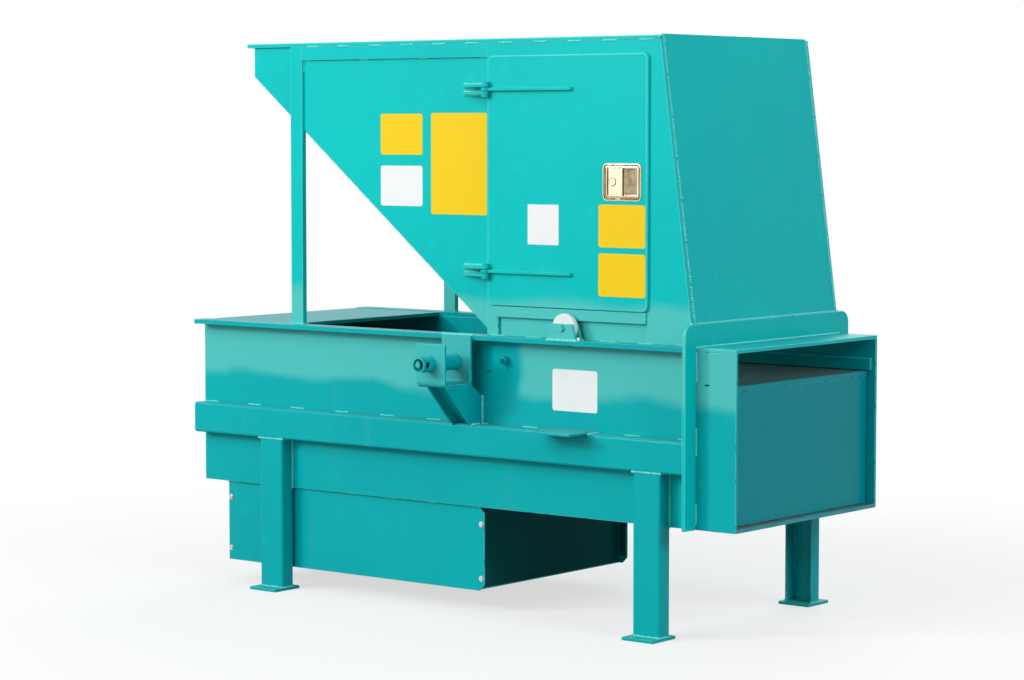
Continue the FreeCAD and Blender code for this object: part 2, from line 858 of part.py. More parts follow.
def pipe_brace():
    # Two gussets, with a sloping web set back between them, carry the bracket down to the rail.
    x1 = bracket_x[1]
    x0 = x1 - brace_width
    outer_y = -flange_half - bracket_reach + brace_edge
    foot_y = -flange_half - bracket_plate
    top = bracket_bottom_z + bracket_corner
    side = [
        (outer_y, top),
        (-flange_half, top),
        (-flange_half, bracket_bottom_z),
        (-chamber_half, brace_wall_z),
        (-chamber_half, rail_top_z),
        (foot_y, rail_top_z),
        (outer_y, bracket_bottom_z + bracket_corner / 2),
    ]
    web_y = (outer_y + brace_web_set, foot_y + brace_web_set)
    web = [
        (web_y[0], bracket_bottom_z),
        (web_y[0] + brace_plate, bracket_bottom_z),
        (web_y[1] + brace_plate, rail_top_z),
        (web_y[1], rail_top_z),
    ]
    rear = prism(side, "x", (x0, x0 + brace_plate))
    front = prism(side, "x", (x1 - brace_plate, x1))
    middle = prism(web, "x", (x0 + brace_plate, x1 - brace_plate))
    return rear.fuse(front).fuse(middle).cut(bracket_block()).removeSplitter()


def anchor_pipe():
    y = (-flange_half - bracket_reach - pipe_out, -flange_half + pipe_in)
    centre = (back(bracket_back), pipe_z)
    tube = rod(pipe_r, "y", y, centre).cut(rod(pipe_bore_r, "y", y, centre))
    x = (centre[0] - 2 * pipe_r, centre[0] + 2 * pipe_r)
    return tube.cut(rod(pin_hole_r, "x", x, (y[0] + pin_hole_inset, pipe_z)))


def roller_middle():
    return -(flange_half - roller_plate - roller_side_gap - roller_width / 2)


def roller_bracket():
    x = back(roller_back)
    foot_half, top_half = roller_base / 2, roller_top / 2
    outline = [
        (x - foot_half, flange_top_z),
        (x + foot_half, flange_top_z),
        (x + top_half, roller_plate_top_z),
        (x - top_half, roller_plate_top_z),
    ]
    away = roller_width / 2 + roller_side_gap
    plates = []
    for side in (-1, 1):
        y = (roller_middle() + side * away, roller_middle() + side * (away + roller_plate))
        plate = prism(outline, "y", y)
        plates.append(plate.cut(rod(roller_bolt_r + running_gap, "y", y, (x, roller_z))))
    return Part.makeCompound(plates)


def roller_bolt():
    centre = (back(roller_back), roller_z)
    reach = roller_width / 2 + roller_side_gap + roller_plate
    middle = roller_middle()
    shank = rod(roller_bolt_r, "y", (middle - reach, middle + reach), centre)
    return shank.fuse(hexagon(bolt_across, "y", (middle - reach - bolt_head, middle - reach), centre))


def guide_roller():
    y = (roller_middle() - roller_width / 2, roller_middle() + roller_width / 2)
    centre = (back(roller_back), roller_z)
    return rod(roller_r, "y", y, centre).cut(rod(roller_bolt_r + running_gap, "y", y, centre))


def shelf_plate():
    x = (back(shelf_back[0]), back(shelf_back[1]))
    return box(x, (-chamber_half - shelf_reach, -chamber_half), (rail_top_z, rail_top_z + shelf_thick))


# ---- power unit ------------------------------------------------------------------------
unit_x = (back(unit_rear_back), back(unit_front_back))
unit_end_x = unit_x[1] - unit_recess
unit_floor_z = unit_bottom_z + unit_sheet


def unit_tray():
    # Floor and rear wall, open at the sides and front.
    y = (-unit_inner, unit_inner)
    floor = box((unit_x[0], unit_end_x), y, (unit_bottom_z, unit_floor_z))
    rear = box((unit_x[0], unit_x[0] + unit_sheet), y, (unit_floor_z, chamber_bottom_z))
    return floor.fuse(rear).removeSplitter()


def unit_end_panel():
    # The end panel with two edges turned forward against the side covers.
    z = (unit_floor_z, chamber_bottom_z)
    panel = box((unit_end_x - unit_sheet, unit_end_x), (-unit_inner, unit_inner), z)
    for side in (-1, 1):
        y = (side * unit_inner, side * (unit_inner - unit_sheet))
        edge = (z[0] + unit_corner, z[1] - unit_corner)
        panel = panel.fuse(box((unit_end_x, unit_x[1] - unit_sheet), y, edge))
    return panel.removeSplitter()


def unit_cover():
    # Flat side cover with its front corners cut off.
    corner = unit_corner
    outline = [
        (unit_x[0], unit_bottom_z),
        (unit_x[1] - corner, unit_bottom_z),
        (unit_x[1], unit_bottom_z + corner),
        (unit_x[1], chamber_bottom_z - corner),
        (unit_x[1] - corner, chamber_bottom_z),
        (unit_x[0], chamber_bottom_z),
    ]
    return prism(outline, "y", (-unit_half, -unit_inner))


def unit_bolts():
    bolts = []
    heights = (unit_bottom_z + cover_bolt_low, chamber_bottom_z - cover_bolt_high)
    places = [unit_x[1] - cover_bolt_inset, unit_x[0] + cover_bolt_inset]
    for x in places:
        for z in heights:
            for side in (-1, 1):
                face = side * unit_half
                head = (face, face + side * cover_bolt_head)
                bolts.append(hexagon(cover_bolt_across, "y", head, (x, z)))
    return Part.makeCompound(bolts)


valve_x = rear_port_x + valve_step
tank_x = valve_x + tank_step
motor_x = (tank_x + motor_step - motor_length / 2, tank_x + motor_step + motor_length / 2)
motor_hollow = (motor_x[0] + motor_wall, motor_x[1] - motor_wall)


def motor_housing():
    centre = (0.0, motor_z)
    shell = rod(motor_r, "x", motor_x, centre)
    shell = shell.fuse(box(motor_hollow, (-motor_foot, motor_foot), (unit_floor_z, motor_z)))
    shell = shell.cut(rod(motor_r - motor_wall, "x", motor_hollow, centre))
    return shell.cut(rod(shaft_r + running_gap, "x", motor_x, centre)).removeSplitter()


def motor_rotor():
    centre = (0.0, motor_z)
    core_x = (motor_hollow[0] + rotor_gap, motor_hollow[1] - rotor_gap)
    core = rod(motor_r - motor_wall - rotor_gap, "x", core_x, centre)
    pump_x = motor_x[1] + coupling_length
    shaft = rod(shaft_r, "x", (motor_x[0] - 2 * motor_wall, pump_x + pump_length / 2), centre)
    hub = rod(2 * shaft_r, "x", (motor_x[1] + rotor_gap, pump_x - rotor_gap), centre)
    fan = rod(fan_r, "x", (motor_x[0] - motor_wall, motor_x[0] - motor_wall + fan_thick), centre)
    return core.fuse(shaft).fuse(hub).fuse(fan).removeSplitter()


def hydraulic_pump():
    start = motor_x[1] + coupling_length
    half = pump_size / 2
    block = box((start, start + pump_length), (-half, half), (motor_z - half, motor_z + half))
    foot_block = box((start, start + pump_length), (-half, half), (unit_floor_z, motor_z - half))
    depth = (start, start + pump_length / 2 + rotor_gap)
    hole = rod(shaft_r + running_gap, "x", depth, (0.0, motor_z))
    return block.fuse(foot_block).cut(hole).removeSplitter()


def oil_tank():
    x = (tank_x - tank_length / 2, tank_x + tank_length / 2)
    outer = box(x, (-tank_half, tank_half), (unit_floor_z, tank_top_z))
    inner = box(
        (x[0] + tank_wall, x[1] - tank_wall),
        (-tank_half + tank_wall, tank_half - tank_wall),
        (unit_floor_z + tank_wall, tank_top_z),
    )
    return outer.cut(inner)


def tank_lid():
    x = (tank_x - tank_length / 2, tank_x + tank_length / 2)
    plate = box(x, (-tank_half, tank_half), (tank_top_z, tank_top_z + tank_wall))
    neck_z = (tank_top_z + tank_wall, tank_top_z + tank_wall + filler_height)
    return plate.fuse(rod(filler_r, "z", neck_z, (tank_x, -tank_half / 2)))


def valve_block():
    x = (valve_x - valve_length / 2, valve_x + valve_length / 2)
    block = box(x, (-valve_length / 2, line_side + valve_length / 2), (unit_floor_z, valve_top_z))
    coil_y = (line_side + valve_length / 2, line_side + valve_length)
    return block.fuse(rod(coil_r, "y", coil_y, (valve_x, valve_top_z - coil_drop)))


def hydraulic_lines():
    rear = rod(line_r, "z", (valve_top_z, cylinder_z - barrel_r + line_bite), (rear_port_x, 0.0))
    rear = rear.cut(rod(barrel_r, "x", (rear_x, barrel_front_x), (0.0, cylinder_z)))
    gland_x = barrel_front_x - gland_length / 2
    up = rod(line_r, "z", (valve_top_z, cylinder_z), (line_drop_x, line_side))
    corner = Part.makeSphere(line_r, FreeCAD.Vector(line_drop_x, line_side, cylinder_z))
    along = rod(line_r, "x", (line_drop_x, gland_x), (line_side, cylinder_z))
    turn = Part.makeSphere(line_r, FreeCAD.Vector(gland_x, line_side, cylinder_z))
    across = rod(line_r, "y", (barrel_r - line_bite, line_side), (gland_x, cylinder_z))
    front = up.fuse(corner).fuse(along).fuse(turn).fuse(across)
    front = front.cut(rod(barrel_r, "x", (rear_x, barrel_front_x), (0.0, cylinder_z)))
    return Part.makeCompound([rear, front.removeSplitter()])


def build():
    os.makedirs("parts", exist_ok=True)
    front_x, back_x = anchor_spacing_x / 2, -anchor_spacing_x / 2
    rear_ears = clevis_ears(rear_x + bulkhead_thick, rear_pin_x)
    pieces = {
        "chamber_side_near": chamber_side(),
        "chamber_side_far": far(chamber_side()),
        "chamber_floor": chamber_floor(),
        "top_flanges": Part.makeCompound([top_flange(True), far(top_flange(False))]),
        "side_rails": both(side_rail()),
        "discharge_collar": discharge_collar(),
        "snout_roof": snout_roof(),
        "ram_hold_down_bars": both(hold_down_bar()),
        "wiper_plate": wiper_plate(),
        "rear_bulkhead": rear_bulkhead(),
        "rear_cover": rear_cover(),
        "front_legs": both(leg(front_x)),
        "rear_legs": both(leg(back_x)),
        "foot_plates": Part.makeCompound([both(foot(front_x)), both(foot(back_x))]),
        "hopper_side_near": hopper_side(True),
        "hopper_side_far": far(hopper_side(False)),
        "hopper_chute_floor": chute_floor(),
        "hopper_discharge_face": hopper_face(),
        "hopper_rim": hopper_rim(),
        "hopper_posts": both(hopper_post()),
        "hopper_frame_bars": Part.makeCompound([rim_bar(back(frame_rear_back)), far_frame()]),
        "door_frame_plate": door_frame_plate(),
        "door_sill": door_sill(),
        "door_hinge_ears": Part.makeCompound([hinge_ear(z) for z in hinge_rises()]),
        "door_hinge_pins": Part.makeCompound([hinge_pin(z) for z in hinge_heights]),
        "door_panel": door_panel(),
        "door_hinge_straps": Part.makeCompound([hinge_strap(z) for z in hinge_heights]),
        "latch_pan": latch_pan(),
        "latch_paddle": latch_paddle(),
        "latch_key_cylinder": key_cylinder(),
        "latch_tongue": latch_tongue(),
        "ram_face_plate": ram_face_plate(),
        "ram_top_plate": ram_top_plate(),
        "ram_sides": both(ram_side()),
        "ram_bottom_plate": ram_bottom_plate(),
        "ram_rear_frame": ram_rear_frame(),
        "ram_shoes": ram_shoes(),
        "ram_clevis_ears": clevis_ears(ram_face_rear_x, rod_pin_x),
        "ram_clevis_pin": clevis_pin(rod_pin_x),
        "piston_rod": piston_rod(),
        "cylinder_barrel": cylinder_barrel(),
        "rear_clevis": Part.makeCompound([rear_ears, clevis_pin(rear_pin_x)]),
        "pipe_brackets": both(pipe_bracket()),
        "pipe_braces": both(pipe_brace()),
        "anchor_pipe_near": anchor_pipe(),
        "anchor_pipe_far": far(anchor_pipe()),
        "roller_bracket": roller_bracket(),
        "roller_bolt": roller_bolt(),
        "guide_roller": guide_roller(),
        "shelf_plate": shelf_plate(),
    }
    power_unit = {
        "unit_tray": unit_tray(),
        "unit_end_panel": unit_end_panel(),
        "unit_covers": both(unit_cover()),
        "unit_cover_bolts": unit_bolts(),
        "motor_housing": motor_housing(),
        "motor_rotor": motor_rotor(),
        "hydraulic_pump": hydraulic_pump(),
        "oil_tank": Part.makeCompound([oil_tank(), tank_lid()]),
        "valve_block": valve_block(),
        "hydraulic_lines": hydraulic_lines(),
    }
    pieces.update(power_unit)
    for name, shape in pieces.items():
        save(name, shape)
    print(len(pieces), "pieces, collar face at x =", collar_x)


build()
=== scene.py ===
import json
import math
import bmesh
import bpy
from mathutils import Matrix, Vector

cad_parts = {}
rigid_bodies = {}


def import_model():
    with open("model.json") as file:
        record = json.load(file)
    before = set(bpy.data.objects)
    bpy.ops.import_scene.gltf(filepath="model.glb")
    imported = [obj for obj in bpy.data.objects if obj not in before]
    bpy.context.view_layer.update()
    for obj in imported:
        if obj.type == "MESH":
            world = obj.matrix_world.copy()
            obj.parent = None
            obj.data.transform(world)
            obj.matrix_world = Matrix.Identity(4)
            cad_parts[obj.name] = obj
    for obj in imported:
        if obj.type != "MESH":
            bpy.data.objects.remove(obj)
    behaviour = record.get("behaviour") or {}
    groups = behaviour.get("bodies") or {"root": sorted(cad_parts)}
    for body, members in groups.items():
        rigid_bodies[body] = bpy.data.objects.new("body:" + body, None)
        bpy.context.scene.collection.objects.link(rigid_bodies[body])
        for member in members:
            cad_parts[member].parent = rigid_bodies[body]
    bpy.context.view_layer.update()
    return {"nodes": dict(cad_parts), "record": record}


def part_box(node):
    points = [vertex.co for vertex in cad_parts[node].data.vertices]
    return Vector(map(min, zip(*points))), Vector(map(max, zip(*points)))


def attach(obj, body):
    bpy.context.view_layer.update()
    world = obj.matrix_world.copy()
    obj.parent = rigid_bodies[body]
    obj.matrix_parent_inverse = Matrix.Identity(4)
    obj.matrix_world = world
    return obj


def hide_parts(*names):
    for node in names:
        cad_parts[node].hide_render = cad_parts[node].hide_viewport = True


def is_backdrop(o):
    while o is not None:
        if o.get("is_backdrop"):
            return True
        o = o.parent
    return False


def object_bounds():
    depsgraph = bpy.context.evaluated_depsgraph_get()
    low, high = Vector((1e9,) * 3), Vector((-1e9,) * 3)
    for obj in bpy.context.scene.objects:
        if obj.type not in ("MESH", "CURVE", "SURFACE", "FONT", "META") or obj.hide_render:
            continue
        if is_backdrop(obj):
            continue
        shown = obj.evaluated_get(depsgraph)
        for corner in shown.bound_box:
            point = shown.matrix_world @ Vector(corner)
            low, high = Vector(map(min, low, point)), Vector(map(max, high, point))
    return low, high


for old in list(bpy.data.objects):
    bpy.data.objects.remove(old)
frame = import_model()
nodes = frame["nodes"]
bodies = frame["record"]["behaviour"]["bodies"]
bodyOf = {name: body for body, names in bodies.items() for name in names}
scene = bpy.context.scene

# Camera, light and floor.
view = {
    "place": (5.916, -7.509, 1.557),
    "turn": 38.69,  # degrees round Z
    "tilt": 85.78,  # degrees from straight down
    "lens": 102.17,
}
camera = bpy.data.objects.new("camera", bpy.data.cameras.new("camera"))
camera.location = view["place"]
camera.rotation_euler = (math.radians(view["tilt"]), 0, math.radians(view["turn"]))
camera.data.lens = view["lens"]
camera.data.sensor_width = 36
scene.collection.objects.link(camera)
scene.camera = camera

studio = {
    "key": {"place": (-5.4, -8.2, 4.2), "size": 1.4, "watts": 310, "tint": (1.0, 0.98, 0.93)},
    "sky": {"place": (-2.2, -9.5, 6.0), "size": 7.0, "watts": 620, "tint": (0.97, 1.0, 1.03)},
    "fill": {"place": (8.5, -1.5, 5.4), "size": 4.0, "watts": 330, "tint": (0.90, 0.97, 1.08)},
    "back": {"place": (-3.0, 7.5, 6.0), "size": 5.0, "watts": 300, "tint": (0.95, 0.98, 1.0)},
    "ambient": 0.34,
    "aim": (0.1, 0.0, 0.9),
}
for lampName in ("key", "sky", "fill", "back"):
    lamp = studio[lampName]
    light = bpy.data.objects.new(lampName, bpy.data.lights.new(lampName, "AREA"))
    light.data.energy = lamp["watts"]
    light.data.size = lamp["size"]
    light.data.color = lamp["tint"]
    light.location = lamp["place"]
    light.rotation_euler = (Vector(studio["aim"]) - light.location).to_track_quat("-Z", "Y").to_euler()
    scene.collection.objects.link(light)
scene.view_settings.view_transform = "Standard"


class Sock:
    # A node socket that can be used in sums; a plain number stays a number.
    def __init__(self, tree, socket=None):
        self.tree = tree
        self.socket = socket

    def node(self, kind, settings=None, sockets=None, out=0):
        # Adds any node: its settings first, then the values or links of its sockets.
        made = self.tree.nodes.new(kind)
        for key, value in (settings or {}).items():
            setattr(made, key, value)
        for key, value in (sockets or {}).items():
            if isinstance(value, Sock):
                self.tree.links.new(value.socket, made.inputs[key])
            else:
                made.inputs[key].default_value = value
        return Sock(self.tree, made.outputs[out]) if len(made.outputs) else made

    def sum(self, operation, *terms):
        return self.node("ShaderNodeMath", {"operation": operation}, dict(enumerate(terms)))

    def __add__(self, other):
        return self.sum("ADD", self, other)

    def __radd__(self, other):
        return self.sum("ADD", other, self)

    def __sub__(self, other):
        return self.sum("SUBTRACT", self, other)

    def __rsub__(self, other):
        return self.sum("SUBTRACT", other, self)

    def __mul__(self, other):
        return self.sum("MULTIPLY", self, other)

    def __rmul__(self, other):
        return self.sum("MULTIPLY", other, self)

    def part(self, axis):
        # One coordinate of this vector.
        return self.node("ShaderNodeSeparateXYZ", None, {0: self}, axis)

    def fade(self, low, high):
        # 0 below low, 1 above high, smooth between.
        return self.node(
            "ShaderNodeMapRange", {"interpolation_type": "SMOOTHSTEP"},
            {"Value": self, "From Min": low, "From Max": high},
        )

    def mix(self, first, second):
        # This socket is the mask between two colours.
        blend = {"data_type": "RGBA", "clamp_factor": True}
        return self.node("ShaderNodeMix", blend, {0: self, 6: first, 7: second}, 2)

    def noise(self, scale, detail=3.0, stretch=None, distortion=0.0):
        # Noise over the piece; this socket holds its coordinates.
        place = self
        if stretch:
            place = self.node("ShaderNodeVectorMath", {"operation": "MULTIPLY"}, {0: self, 1: stretch})
        return self.node(
            "ShaderNodeTexNoise", None,
            {"Vector": place, "Scale": scale, "Detail": detail, "Distortion": distortion},
        )


def rgb(red, green, blue):
    return (red, green, blue, 1.0)


def newMaterial(name, constants):
    # A material with one Principled shader; constants go on the shader's own sockets.
    material = bpy.data.materials.new(name)
    material.use_nodes = True
    shader = material.node_tree.nodes["Principled BSDF"]
    for key, value in constants.items():
        shader.inputs[key].default_value = value
    start = Sock(material.node_tree)
    place = start.node("ShaderNodeTexCoord", out="Object")
    return material, shader, place


def feed(place, shader, **links):
    # Links expressions to the shader; height goes through a Bump node to Normal.
    for key, value in links.items():
        if key == "height":
            height, strength, distance = value
            bump = place.node(
                "ShaderNodeBump", None, {"Height": height, "Strength": strength, "Distance": distance}
            )
            place.tree.links.new(bump.socket, shader.inputs["Normal"])
        else:
            target = {"colour": "Base Color", "roughness": "Roughness", "metallic": "Metallic"}[key]
            place.tree.links.new(value.socket, shader.inputs[target])


# Outdoor white shows to the camera and in reflections; diffuse light is plainer.
world = bpy.data.worlds.new("studio")
world.use_nodes = True
scene.world = world
backdrop = world.node_tree.nodes["Background"]
start = Sock(world.node_tree)
seen = start.node("ShaderNodeLightPath", out="Is Camera Ray")
glossy = start.node("ShaderNodeLightPath", out="Is Glossy Ray")
through = start.node("ShaderNodeLightPath", out="Is Transmission Ray")
white = start.sum("MINIMUM", seen + glossy + through, 1.0)
strength = studio["ambient"] + white * (1.0 - studio["ambient"])
world.node_tree.links.new(strength.socket, backdrop.inputs["Strength"])
backdrop.inputs["Color"].default_value = rgb(1, 1, 1)

floorSheet = {
    "half": 60.0,
    "colour": (0.88, 0.88, 0.88),
    "bounce": (0.34, 0.34, 0.34),  # what the floor throws back on the object
    "shadow": 0.34,  # how much of the shadow shows near the object
    "near": 1.0,
    "far": 3.6,  # the shadow is gone here
}
floorMesh = bpy.data.meshes.new("floor")
half = floorSheet["half"]
corners = [(-half, -half, 0), (half, -half, 0), (half, half, 0), (-half, half, 0)]
floorMesh.from_pydata(corners, [], [(0, 1, 2, 3)])
floor = bpy.data.objects.new("floor", floorMesh)
scene.collection.objects.link(floor)
floorLook = {"Base Color": rgb(*floorSheet["colour"]), "Roughness": 0.9}
floorPaint, floorShader, floorPlace = newMaterial("floorPaint", floorLook)
seen = floorPlace.node("ShaderNodeLightPath", out="Is Camera Ray")
glossy = floorPlace.node("ShaderNodeLightPath", out="Is Glossy Ray")
through = floorPlace.node("ShaderNodeLightPath", out="Is Transmission Ray")
shown = floorPlace.sum("MINIMUM", seen + glossy + through, 1.0)
away = floorPlace.node("ShaderNodeVectorMath", {"operation": "LENGTH"}, {0: floorPlace}, "Value")
white = away.fade(floorSheet["near"], floorSheet["far"]) * floorSheet["shadow"]
white = white + (1.0 - floorSheet["shadow"])
glow = floorPlace.node("ShaderNodeEmission", None, {"Color": rgb(1, 1, 1), "Strength": 1.0})
pale = Sock(floorPlace.tree, floorShader.outputs[0])
dull = floorPlace.node("ShaderNodeBsdfDiffuse", None, {"Color": rgb(*floorSheet["bounce"])})
pale = floorPlace.node("ShaderNodeMixShader", None, {0: white, 1: pale, 2: glow})
mixed = floorPlace.node("ShaderNodeMixShader", None, {0: shown, 1: dull, 2: pale})
floorPlace.tree.links.new(mixed.socket, floorPaint.node_tree.nodes["Material Output"].inputs[0])
floorMesh.materials.append(floorPaint)
floor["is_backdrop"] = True
print("camera, light and floor in place")


# Finishes, in linear colour.
enamel = {
    "upper": (0.0, 0.545, 0.525),
    "lower": (0.0, 0.415, 0.435),
    "ram": (0.0, 0.285, 0.32),
    # painted shade: near-black teal for the unit's end panel under the chamber and for the slot sheets
    "shade": (0.0, 0.11, 0.11),
    # painted highlight: paler teal for the weld beads and the rounded edges, in place of the light they
    # catch
    "bead": (0.14, 0.76, 0.72),
    # painted sheen: paler teal where sunlight glances off -Y faces
    "chalk": (0.10, 0.56, 0.52),
    "primer": (0.07, 0.15, 0.15),
    "dust": (0.30, 0.36, 0.33),
    "roughness": 0.30,
    "bandFoot": (0.755, 0.80),  # heights between which the painted sheen fades in
    "bandHead": (1.05, 1.10),
}


def tealEnamel(name, base, wear=0.5, grime=0.3, wave=0.5, chalked=0.0, kept=None, gloss=0.05):
    # Gloss enamel over plate: chips and a lighter painted highlight on the edges, dust on ledges, runs, a
    # rolled-sheet wave and, where asked, a paler painted sheen on -Y faces, left out between the kept X
    # limits, where the gap is the painted shadow of the pipe bracket.
    shine = {"Coat Weight": gloss, "Coat Roughness": 0.10, "Specular IOR Level": 1.6 * gloss}
    material, shader, place = newMaterial(name, shine)
    red, green, blue = enamel[base]
    broad = place.noise(1.4, 3.0)
    fine = place.noise(22.0, 4.0)
    runs = place.noise(1.0, 4.0, stretch=(16.0, 16.0, 1.3)).fade(0.58, 0.80)
    edge = place.node("ShaderNodeAttribute", {"attribute_name": "edge"}, out="Fac")
    chips = edge * place.noise(34.0, 5.0, distortion=0.6).fade(0.70 - 0.12 * wear, 0.74 - 0.12 * wear)
    normal = place.node("ShaderNodeNewGeometry", out="Normal")
    up = normal.part("Z").fade(0.6, 0.95)
    under = 1.0 - normal.part("Z").fade(-0.6, -0.3)  # dry overspray
    settled = up * (0.35 + 0.65 * fine) * (grime * 0.6)
    film = runs * (0.14 * grime) + settled
    darker = rgb(red, green * 0.93, blue * 0.95)
    lighter = rgb(red, green * 1.04, blue * 1.02)
    colour = broad.fade(0.25, 0.75).mix(darker, lighter)
    colour = (fine.fade(0.55, 0.80) * 0.5).mix(colour, rgb(red, green * 1.12, blue * 1.08))
    # painted sheen: a paler teal on -Y faces, standing in for sunlight glancing off the clear coat
    if chalked:
        height = place.part("Z") + 0.12 * place.noise(3.0, 5.0)
        band = height.fade(*enamel["bandFoot"]) * (1.0 - height.fade(*enamel["bandHead"]))
        band = band * (-1.0 * normal.part("Y")).fade(0.5, 0.9)
        # the kept X limits leave the sheen out where the pipe bracket's shadow falls: painted shadow
        if kept:
            along = place.part("X") + 0.07 * place.noise(7.0, 4.0)
            band = band * (1.0 - along.fade(kept[0] - 0.03, kept[0]) + along.fade(kept[1], kept[1] + 0.04))
        colour = (band * chalked).mix(colour, rgb(*enamel["chalk"]))
    # painted highlight: marked edge faces turn a paler teal
    colour = (edge * (0.25 + 0.45 * fine)).mix(colour, rgb(*enamel["bead"]))
    colour = film.mix(colour, rgb(*enamel["dust"]))
    colour = chips.mix(colour, rgb(*enamel["primer"]))
    roughness = enamel["roughness"] + 0.10 * fine + film * 0.6 + chips * 0.3 + under * 0.35
    peel = place.noise(420.0, 2.0) * 0.10
    sheet = place.noise(2.6, 2.0) * (6.0 * wave)
    skin = peel + sheet - chips * 0.5
    feed(place, shader, colour=colour, roughness=roughness, height=(skin, 0.35, 0.002))
    return material


def metalFinish(name, colour, dark, roughness, grain=(1.0, 1.0, 1.0), scale=60.0, scratch=0.25):
    # Bare or plated metal with a grain along its long way and smudges.
    material, shader, place = newMaterial(name, {"Metallic": 1.0})
    lines = place.noise(scale, 4.0, stretch=grain)
    smudge = place.noise(7.0, 3.0)
    tone = (0.25 + 0.75 * lines.fade(0.25, 0.75)).mix(rgb(*dark), rgb(*colour))
    tone = (smudge.fade(0.55, 0.8) * 0.35).mix(tone, rgb(*dark))
    rough = roughness + 0.22 * smudge.fade(0.4, 0.8) + 0.10 * lines
    feed(place, shader, colour=tone, roughness=rough, height=(lines, scratch, 0.0006))
    return material


latchTone = {
    "pale": (0.74, 0.58, 0.32),
    "white": (0.92, 0.84, 0.66),
    "brown": (0.15, 0.095, 0.045),
    "line": (0.035, 0.015, 0.008),
}


def latchMetal(name):
    # Polished plate with warm bands; marked faces of its pressed ribs and dish are painted dark brown and
    # near-black, painted reflections and shade.
    material, shader, place = newMaterial(name, {"Metallic": 1.0})
    groove = place.node("ShaderNodeAttribute", {"attribute_name": "groove"}, out="Fac")
    brushed = place.noise(30.0, 4.0, stretch=(14.0, 14.0, 0.5))
    cloud = place.noise(26.0, 2.0, distortion=0.4)
    tone = brushed.fade(0.3, 0.7).mix(rgb(*latchTone["pale"]), rgb(*latchTone["white"]))
    brownReflectionMask = groove.fade(0.1, 0.5) * (0.68 + 0.32 * cloud.fade(0.35, 0.65))
    tone = brownReflectionMask.mix(tone, rgb(*latchTone["brown"]))
    lineReflectionMask = groove.fade(0.6, 0.95) * (0.7 + 0.3 * cloud.fade(0.36, 0.5))
    tone = lineReflectionMask.mix(tone, rgb(*latchTone["line"]))
    feed(place, shader, colour=tone, roughness=0.20 + 0.14 * cloud, height=(brushed, 0.1, 0.0004))
    return material


wornTop = {
    "steel": (0.15, 0.18, 0.18),
    "bright": (0.27, 0.31, 0.31),
    "rust": (0.17, 0.085, 0.04),
    "paintLeft": 0.66,
}


def wornPlate(name, rusty):
    # Plate rubbed bare by waste along X, with paint left in patches and a rust bloom.
    material, shader, place = newMaterial(name, {})
    drag = place.noise(1.0, 6.0, stretch=(2.2, 46.0, 8.0))
    patch = place.noise(3.2, 5.0, distortion=0.8)
    normal = place.node("ShaderNodeNewGeometry", out="Normal")
    side = 1.0 - normal.part("Z").fade(0.5, 0.9)
    onTop = patch.fade(0.60, 0.72) * wornTop["paintLeft"]
    left = place.sum("MAXIMUM", onTop, side * patch.fade(0.30, 0.45))
    bloom = place.noise(9.0, 6.0).fade(0.62 - 0.16 * rusty, 0.80 - 0.10 * rusty) * (0.35 + 0.5 * rusty)
    colour = drag.fade(0.35, 0.70).mix(rgb(*wornTop["steel"]), rgb(*wornTop["bright"]))
    colour = bloom.mix(colour, rgb(*wornTop["rust"]))
    colour = left.mix(colour, rgb(*enamel["ram"]))
    metal = (1.0 - left) * (1.0 - bloom) * 0.75
    roughness = 0.34 + 0.25 * drag + bloom * 0.35
    feed(place, shader, colour=colour, metallic=metal, roughness=roughness, height=(drag, 0.4, 0.0008))
    return material


def vinyl(name, colour, edgeTone):
    # Blank label stock: faint lift lines, a yellowed border and handling marks.
    shine = {"Coat Weight": 0.05, "Coat Roughness": 0.2, "Specular IOR Level": 0.2}
    material, shader, place = newMaterial(name, shine)
    smear = place.noise(11.0, 4.0)
    border = place.node("ShaderNodeAttribute", {"attribute_name": "edge"}, out="Fac")
    tone = (smear.fade(0.5, 0.8) * 0.16).mix(rgb(*colour), rgb(*edgeTone))
    tone = (border * 0.5).mix(tone, rgb(*edgeTone))
    skin = smear + place.noise(90.0, 2.0) * 0.2
    feed(place, shader, colour=tone, roughness=0.34 + 0.18 * smear, height=(skin, 0.15, 0.001))
    return material


def mouldedNylon(name):
    # White turned plastic with scuffs round its tread and grease in places.
    material, shader, place = newMaterial(name, {"Specular IOR Level": 0.4})
    scuff = place.noise(1.0, 5.0, stretch=(60.0, 260.0, 60.0)).fade(0.45, 0.75)
    grease = place.noise(24.0, 4.0).fade(0.58, 0.8)
    tone = (scuff * 0.25).mix(rgb(0.80, 0.82, 0.82), rgb(0.55, 0.58, 0.57))
    tone = (grease * 0.35).mix(tone, rgb(0.20, 0.20, 0.18))
    feed(place, shader, colour=tone, roughness=0.38 + 0.2 * scuff, height=(scuff, 0.2, 0.0005))
    return material


def dullPaint(name, colour, dark, roughness):
    # Shop paint on castings and hidden parts, with oil film and cast grain.
    material, shader, place = newMaterial(name, {})
    cast = place.noise(180.0, 3.0)
    oil = place.noise(6.0, 4.0).fade(0.5, 0.75)
    tone = (oil * 0.55).mix(rgb(*colour), rgb(*dark))
    rough = roughness - 0.2 * oil + 0.1 * cast
    feed(place, shader, colour=tone, roughness=rough, height=(cast, 0.3, 0.0008))
    return material


